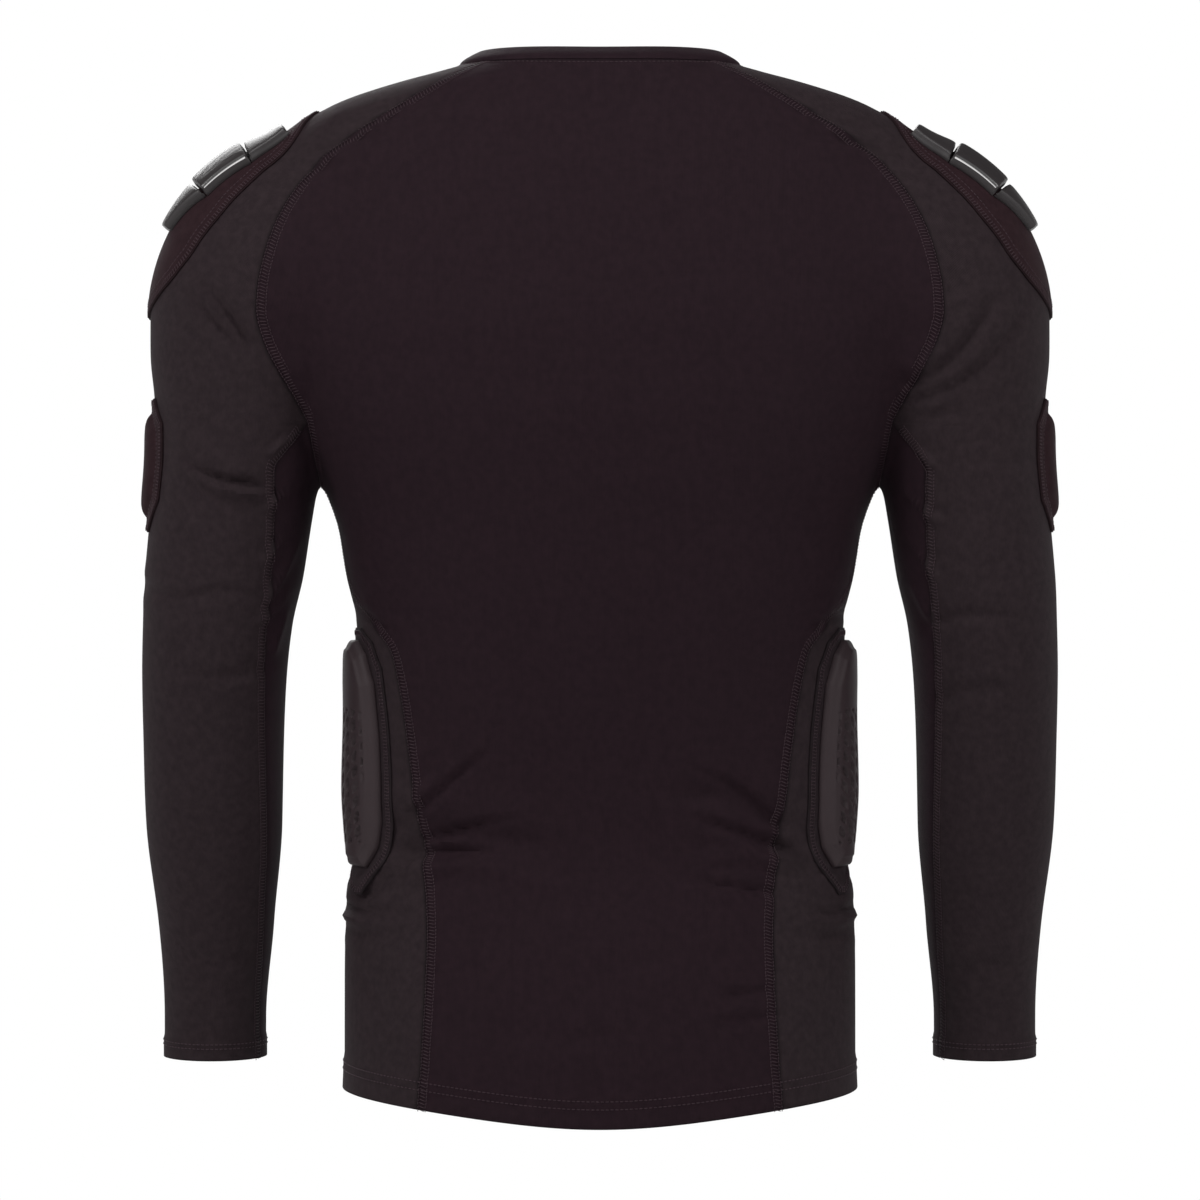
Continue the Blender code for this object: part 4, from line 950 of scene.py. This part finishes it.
# %% [markdown]
# ## Moulded blocks and plates
# The waist block is pressed foam with a bevelled edge. Below its top third it is dimpled with slanted
# lozenges, set in slanted columns, each column half a step lower than the last, so the block can bend
# and breathe. A lattice works out how deep each point of the fine grid lies in its nearest dimple.

# %% Dimples of the waist block
DIMPLE_TOP, DIMPLE_LOW = -0.398, -0.486
DIMPLE_DOWN, DIMPLE_ACROSS, DIMPLE_SLANT = 0.0098, 0.0072, 0.42
DIMPLE_HALF_HEIGHT, DIMPLE_HALF_WIDTH, DIMPLE_DEPTH = 0.0026, 0.0019, 0.0024
DIMPLE_LEAN, DIMPLE_FROM_RIM = 0.55, 0.0072


def dimples(p, rim):
    y, z = p[..., 1], p[..., 2]
    column = np.round(y / DIMPLE_ACROSS)
    sideways = y - column * DIMPLE_ACROSS
    down = z - DIMPLE_SLANT * y - np.where(column % 2 == 0, 0, DIMPLE_DOWN / 2)
    upright = down - np.round(down / DIMPLE_DOWN) * DIMPLE_DOWN
    upright = upright - DIMPLE_LEAN * sideways
    inside = np.maximum(np.abs(sideways) / DIMPLE_HALF_WIDTH, np.abs(upright) / DIMPLE_HALF_HEIGHT)
    zone = ease((DIMPLE_TOP - z) / 0.002) * ease((z - DIMPLE_LOW) / 0.002)
    zone = zone * ease((rim - DIMPLE_FROM_RIM) / 0.0014)
    return -DIMPLE_DEPTH * ease((1.12 - inside) / 0.3) * zone


z = np.linspace(WAIST_BLOCK[0].height, WAIST_BLOCK[-1].height, 170)
p = on_flank(WAIST_BLOCK, z, np.linspace(0, 1, 84))
pad("waist_pad_block", p, ON_BASE, BLOCK_EDGE, FOAM_SKIN, dimples)
print("dimple pitch, mm", DIMPLE_DOWN * 1000, DIMPLE_ACROSS * 1000)

# %% [markdown]
# Three rubber plates armour the shoulder. The middle one is finely ribbed, and a strip of its bevel
# towards the back is near-white polished metal: a painted glint.

# %% Shoulder plates
PLATE_ROWS, RIB_HEIGHT, RIB_PITCH, RIBS_FROM_RIM = 40, 0.001, 0.0021, 0.0045
bevel_steps = np.array([0, 0.01, 0.02, 0.032, 0.046, 0.065, 0.09])
spread = 1 - 2 * np.concatenate([bevel_steps, np.linspace(0.115, 0.885, 62), 1 - bevel_steps[::-1]])
for plate in SHOULDER_PLATES:
    steps = np.linspace(0, 1, PLATE_ROWS)[:, None]
    along = plate.start + (plate.end - plate.start) * steps
    half_width = plate.half_start + (plate.half_end - plate.half_start) * steps
    across = half_width * spread[None]
    p = on_shoulder(along, across)
    rise = plate.rise
    edge = ((0, 1.2), (0.4, 2.4), (1.6, 0.70 * rise), (2.4, 0.88 * rise), (5.0, 0.96 * rise), (12, rise),
            (60, rise))
    from_end = 2.5 * np.minimum(along - plate.start, plate.end - along) + 0.0006
    rim = np.minimum(half_width - np.abs(across), from_end)

    def ribs(p, rim, plate=plate, across=across):
        flat = ease((rim - RIBS_FROM_RIM) / 0.001)
        return RIB_HEIGHT * plate.ribs * flat * np.abs(np.sin(math.pi * across / RIB_PITCH))

    relief = ribs if plate.ribs else None
    pad(f"shoulder_plate_{plate.name}", p, ON_BASE, edge, SATIN_RUBBER, relief, rim)
# A strip of faces on the middle plate's back bevel takes the near-white metal: a painted glint.
for side, _ in SIDES:
    mesh = PIECES[f"shoulder_plate_middle_{side}"].data
    mesh.materials.append(PAINTED_GLINT_EDGE)
    for face in mesh.polygons:
        row, column = divmod(face.index, len(spread) - 1)
        if 2 <= column <= 3 and 2 <= row <= PLATE_ROWS - 4:
            face.material_index = 1
print("plates", [plate.name for plate in SHOULDER_PLATES])

# %% [markdown]
# ## Sewing
# Flatlock seams join two edges without a ridge: two rows of stitches with threads laid across between
# them. It would be endless work to set them one by one. A Geometry Nodes tree walks each seam line at
# the stitch length and sets one stitch, turned to the seam and to the cloth, at every step.


# %% Lines to sew along
def contour(points, field, level):
    """Where a field over a grid takes a level: places on the grid's edges, and short lines between."""
    over = field > level
    places, normals, known, lines = [], [], {}, []
    normal = normals_at(points)

    def place(a, b):
        key = (a, b)
        if key not in known:
            t = (level - field[a]) / (field[b] - field[a])
            known[key] = len(places)
            places.append(points[a] * (1 - t) + points[b] * t)
            normals.append(normal[a] * (1 - t) + normal[b] * t)
        return known[key]

    rows, columns = np.nonzero((over[:-1, :-1] != over[1:, :-1]) | (over[:-1, :-1] != over[:-1, 1:]) |
                               (over[:-1, :-1] != over[1:, 1:]))
    for i, j in zip(rows.tolist(), columns.tolist()):
        corners = ((i, j), (i, j + 1), (i + 1, j + 1), (i + 1, j))
        pairs = ((0, 1), (1, 2), (3, 2), (0, 3))
        cut = [place(corners[a], corners[b]) for a, b in pairs if over[corners[a]] != over[corners[b]]]
        if len(cut) == 2:
            lines.append(cut)
    return places, normals, lines


KINDS = ("flatlock", "overlock", "lockstitch")
SEWING = {f"{kind}_{side}": [] for kind in KINDS for side in ("left", "right")}
SEWING["hem_stitch"] = []


def sew(group, points, field, level):
    SEWING[group].append(contour(points, field, level))


LADDER_IN = 0.0036
for side, sign, edge in (("left", 1, 0), ("right", -1, -1)):
    for node in ("back_panel", "front_panel"):
        grid = OUTER[node]
        sew(f"flatlock_{side}", grid, away_from(grid[:, edge], grid), LADDER_IN)
    grid = OUTER[f"sleeve_{side}"][RAGLAN_ROWS + 2 :]
    for column in (0, -1):
        sew(f"flatlock_{side}", grid, away_from(grid[:, column], grid), LADDER_IN)
    for node in ("sleeve", "underarm"):
        grid = OUTER[f"{node}_{side}"]
        for level in (0.0085, 0.0115):
            sew("hem_stitch", grid, away_from(grid[-1], grid), level)
    for node, level in (("shoulder_patch", 0.0079), ("arm_pad", 0.0086)):
        sew(f"lockstitch_{side}", OUTER[f"{node}_{side}"], RIM[node], level)
    for node, level in (("shoulder_patch", 0.0027), ("arm_pad", 0.0027), ("waist_pad_flange", 0.0032)):
        sew(f"overlock_{side}", OUTER[f"{node}_{side}"], RIM[node], level)
for node in ("back_panel", "front_panel", "side_panel_left", "side_panel_right"):
    grid = OUTER[node]
    for level in (0.0125, 0.0175):
        sew("hem_stitch", grid, away_from(grid[-1], grid), level)
for node in ("back_panel", "front_panel", "sleeve_left", "sleeve_right"):
    grid = OUTER[node][:8]
    sew("hem_stitch", grid, away_from(grid[0], grid), 0.0024)
print({name: sum(len(lines) for _, _, lines in group) for name, group in SEWING.items()}, "short lines")


# %% One stitch of each kind
def stitch(name, threads):
    """Threads as slim spindles, from end to end, each (x, y, x, y, radius) in millimetres, lying flat."""
    vertices, faces = [], []
    for x0, y0, x1, y1, radius in threads:
        start, end = np.array([x0, y0, 0.0]), np.array([x1, y1, 0.0])
        way = unit(end - start)
        across, above = np.array([-way[1], way[0], 0]), np.array([0, 0, 1.0])
        first = len(vertices)
        vertices.append(start - 0.12 * above)
        for t, r in ((0.25, radius), (0.75, radius)):
            for angle in (0, 90, 180, 270):
                a = math.radians(angle)
                centre = start + (end - start) * t + 0.10 * above
                vertices.append(centre + r * (math.cos(a) * across + math.sin(a) * above))
        vertices.append(end - 0.12 * above)
        for k in range(4):
            m = (k + 1) % 4
            faces += [(first, first + 1 + m, first + 1 + k), (first + 9, first + 5 + k, first + 5 + m)]
            faces.append((first + 1 + k, first + 1 + m, first + 5 + m, first + 5 + k))
    mesh = bpy.data.meshes.new(name)
    mesh.from_pydata((np.array(vertices) / 1000).tolist(), [], faces)
    mesh.shade_smooth()
    return bpy.data.objects.new(name, mesh)


FLATLOCK = stitch("flatlock_stitch", ((-0.9, 2.8, 0.9, 2.8, 0.30), (-0.9, -2.8, 0.9, -2.8, 0.30),
                                      (-0.7, -2.6, 0.7, 2.6, 0.24)))
OVERLOCK = stitch("overlock_stitch", ((-0.9, 1.5, 0.9, 1.5, 0.26), (-0.9, -1.5, 0.9, -1.5, 0.26),
                                      (-0.3, -1.5, 0.3, 1.5, 0.22)))
LOCKSTITCH = stitch("lock_stitch", ((-1.2, 0, 1.2, 0, 0.32),))
STITCHES = {"flatlock": FLATLOCK, "overlock": OVERLOCK, "lockstitch": LOCKSTITCH, "hem": LOCKSTITCH}


# %% The sewing tree
def sewing_tree():
    tree = bpy.data.node_groups.new("sew_along_lines", "GeometryNodeTree")
    face = tree.interface
    face.new_socket("Lines", in_out="INPUT", socket_type="NodeSocketGeometry")
    kinds = {"Stitch": "Object", "Pitch": "Float", "Uneven": "Float", "Seed": "Int", "Thread": "Material"}
    for name, kind in kinds.items():
        face.new_socket(name, in_out="INPUT", socket_type=f"NodeSocket{kind}")
    face.new_socket("Sewing", in_out="OUTPUT", socket_type="NodeSocketGeometry")
    given = add(tree, "NodeGroupInput").outputs
    curve = add(tree, "GeometryNodeMeshToCurve", i0=given["Lines"]).outputs[0]
    steps = add(tree, "GeometryNodeCurveToPoints", {"mode": "LENGTH"}, Curve=curve, Length=given["Pitch"])
    out = add(tree, "GeometryNodeInputNamedAttribute", {"data_type": "FLOAT_VECTOR"}, Name="out").outputs[0]
    turned = add(tree, "FunctionNodeAxesToRotation", {"primary_axis": "Z", "secondary_axis": "X"}, i0=out,
                 i1=steps.outputs["Tangent"]).outputs[0]
    low = add(tree, "ShaderNodeMath", {"operation": "SUBTRACT"}, i0=1.0, i1=given["Uneven"]).outputs[0]
    high = add(tree, "ShaderNodeMath", {"operation": "ADD"}, i0=1.0, i1=given["Uneven"]).outputs[0]
    size = add(tree, "FunctionNodeRandomValue", {"data_type": "FLOAT"}, Seed=given["Seed"])
    tree.links.new(low, size.inputs[2])
    tree.links.new(high, size.inputs[3])
    shape = add(tree, "GeometryNodeObjectInfo", Object=given["Stitch"]).outputs["Geometry"]
    placed = add(tree, "GeometryNodeInstanceOnPoints", Points=steps.outputs["Points"], Instance=shape,
                 Rotation=turned, Scale=size.outputs[1]).outputs[0]
    real = add(tree, "GeometryNodeRealizeInstances", i0=placed).outputs[0]
    coloured = add(tree, "GeometryNodeSetMaterial", Geometry=real, Material=given["Thread"]).outputs[0]
    add(tree, "NodeGroupOutput", i0=coloured)
    return tree


SEW = sewing_tree()
SOCKET = {item.name: item.identifier for item in SEW.interface.items_tree}
PITCH = {"flatlock": 0.0022, "overlock": 0.0022, "lockstitch": 0.0030, "hem": 0.0030}


def sewn(name, parts):
    """Run the tree along the lines, and keep what it makes as a plain mesh."""
    vertices, normals, lines = [], [], []
    for places, directions, links in parts:
        lines += [(a + len(vertices), b + len(vertices)) for a, b in links]
        vertices += [p + 0.00008 * n for p, n in zip(places, directions)]
        normals += directions
    mesh = bpy.data.meshes.new(name + "_lines")
    mesh.from_pydata([tuple(p) for p in vertices], lines, [])
    out = mesh.attributes.new("out", "FLOAT_VECTOR", "POINT")
    out.data.foreach_set("vector", np.array(normals, np.float32).ravel())
    guide = put_in_scene(name + "_lines", mesh)
    modifier = guide.modifiers.new("sewing", "NODES")
    modifier.node_group = SEW
    kind = name.split("_")[0]
    given = {"Stitch": STITCHES[kind], "Pitch": PITCH[kind], "Uneven": 0.06, "Seed": 7, "Thread": THREAD}
    for label, value in given.items():
        modifier[SOCKET[label]] = value
    graph = bpy.context.evaluated_depsgraph_get()
    made = bpy.data.meshes.new_from_object(guide.evaluated_get(graph), depsgraph=graph)
    guide.modifiers.clear()
    bpy.data.objects.remove(guide, do_unlink=True)
    piece = put_in_scene(name, made)
    print(name, len(made.polygons), "faces of thread")
    return piece


THREADS = [sewn(name, parts) for name, parts in SEWING.items()]

# %% [markdown]
# Each fine piece stands in for its CAD node and rides on the one rigid body. Compression panels are cut
# about a tenth narrower than they are worn.

# %% Ride, replace and measure
NOT_CLOTH = ("arm_pad", "waist_pad_block", "shoulder_plate")


for node, piece in PIECES.items():
    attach(piece, "root")
    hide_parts(node)
for piece in THREADS:
    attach(piece, "root")
for node, grid in OUTER.items():
    if node.startswith(NOT_CLOTH):
        continue
triangles = [sum(len(face.vertices) - 2 for face in o.data.polygons) for o in [*PIECES.values(), *THREADS]]
print("triangles", sum(triangles), "most in one", max(triangles))

# %% [markdown]
# ## Floor, light and camera
# The shop's picture is taken straight from behind with a long lens against white. A white wall all
# round, dim overhead, gives the even light, and four soft lamps model the form.

# %% Floor
FLOOR_HEIGHT, FLOOR_HALF = -1.25, 2.6
corners = [(x * FLOOR_HALF, y * FLOOR_HALF, FLOOR_HEIGHT) for x, y in ((-1, -1), (1, -1), (1, 1), (-1, 1))]
floor_mesh = bpy.data.meshes.new("floor")
floor_mesh.from_pydata(corners, [], [(0, 1, 2, 3)])
floor_mesh.materials.append(matt("paper_floor_matt", "#f2f2f2", "#f6f6f6", 0.9, 0.05, 0.0001))
put_in_scene("floor", floor_mesh)

# %% Light
scene = bpy.context.scene
world = bpy.data.worlds.new("white_surround")
scene.world = world
world.use_nodes = True
sky = world.node_tree
background = sky.nodes["Background"]
background.inputs[0].default_value = (1, 1, 1, 1)
way = add(sky, "ShaderNodeTexCoord").outputs["Object"]
height = add(sky, "ShaderNodeSeparateXYZ", i0=way).outputs[2]
DIM_FROM, DIM_TO, DIMMED = 0.16, 0.36, 0.08
soft_edge = {"interpolation_type": "SMOOTHSTEP"}
dim = add(sky, "ShaderNodeMapRange", soft_edge, i0=height, i1=DIM_FROM, i2=DIM_TO, i3=1.0, i4=DIMMED)
sky.links.new(dim.outputs[0], background.inputs[1])
scene.view_settings.view_transform = "Standard"
Lamp = namedtuple("Lamp", "name place watts size")
AIM = (0, 0, -0.33)
LAMPS = (
    Lamp("soft_left", (2.0, 1.5, 1.2), 34, 0.8),
    Lamp("soft_right", (-2.0, 1.6, 1.2), 27, 0.8),
    Lamp("soft_top", (0.2, 1.1, 2.4), 30, 0.7),
    Lamp("soft_front", (0.8, -2.4, 1.4), 44, 1.4),
)
for lamp in LAMPS:
    data = bpy.data.lights.new(lamp.name, "AREA")
    data.energy, data.size = lamp.watts, lamp.size
    light = put_in_scene(lamp.name, data)
    light.location = lamp.place
    light.rotation_euler = (Vector(AIM) - Vector(lamp.place)).to_track_quat("-Z", "Y").to_euler()

# %% Camera
DISTANCE, FRAME, MIDDLE, SENSOR = 2.6, 0.787, -0.328, 36
camera_data = bpy.data.cameras.new("camera")
camera_data.sensor_width = SENSOR
camera_data.lens = SENSOR * DISTANCE / FRAME
camera = put_in_scene("camera", camera_data)
camera.location = (0, DISTANCE, MIDDLE)
camera.rotation_euler = (math.radians(90), 0, math.radians(180))
scene.camera = camera
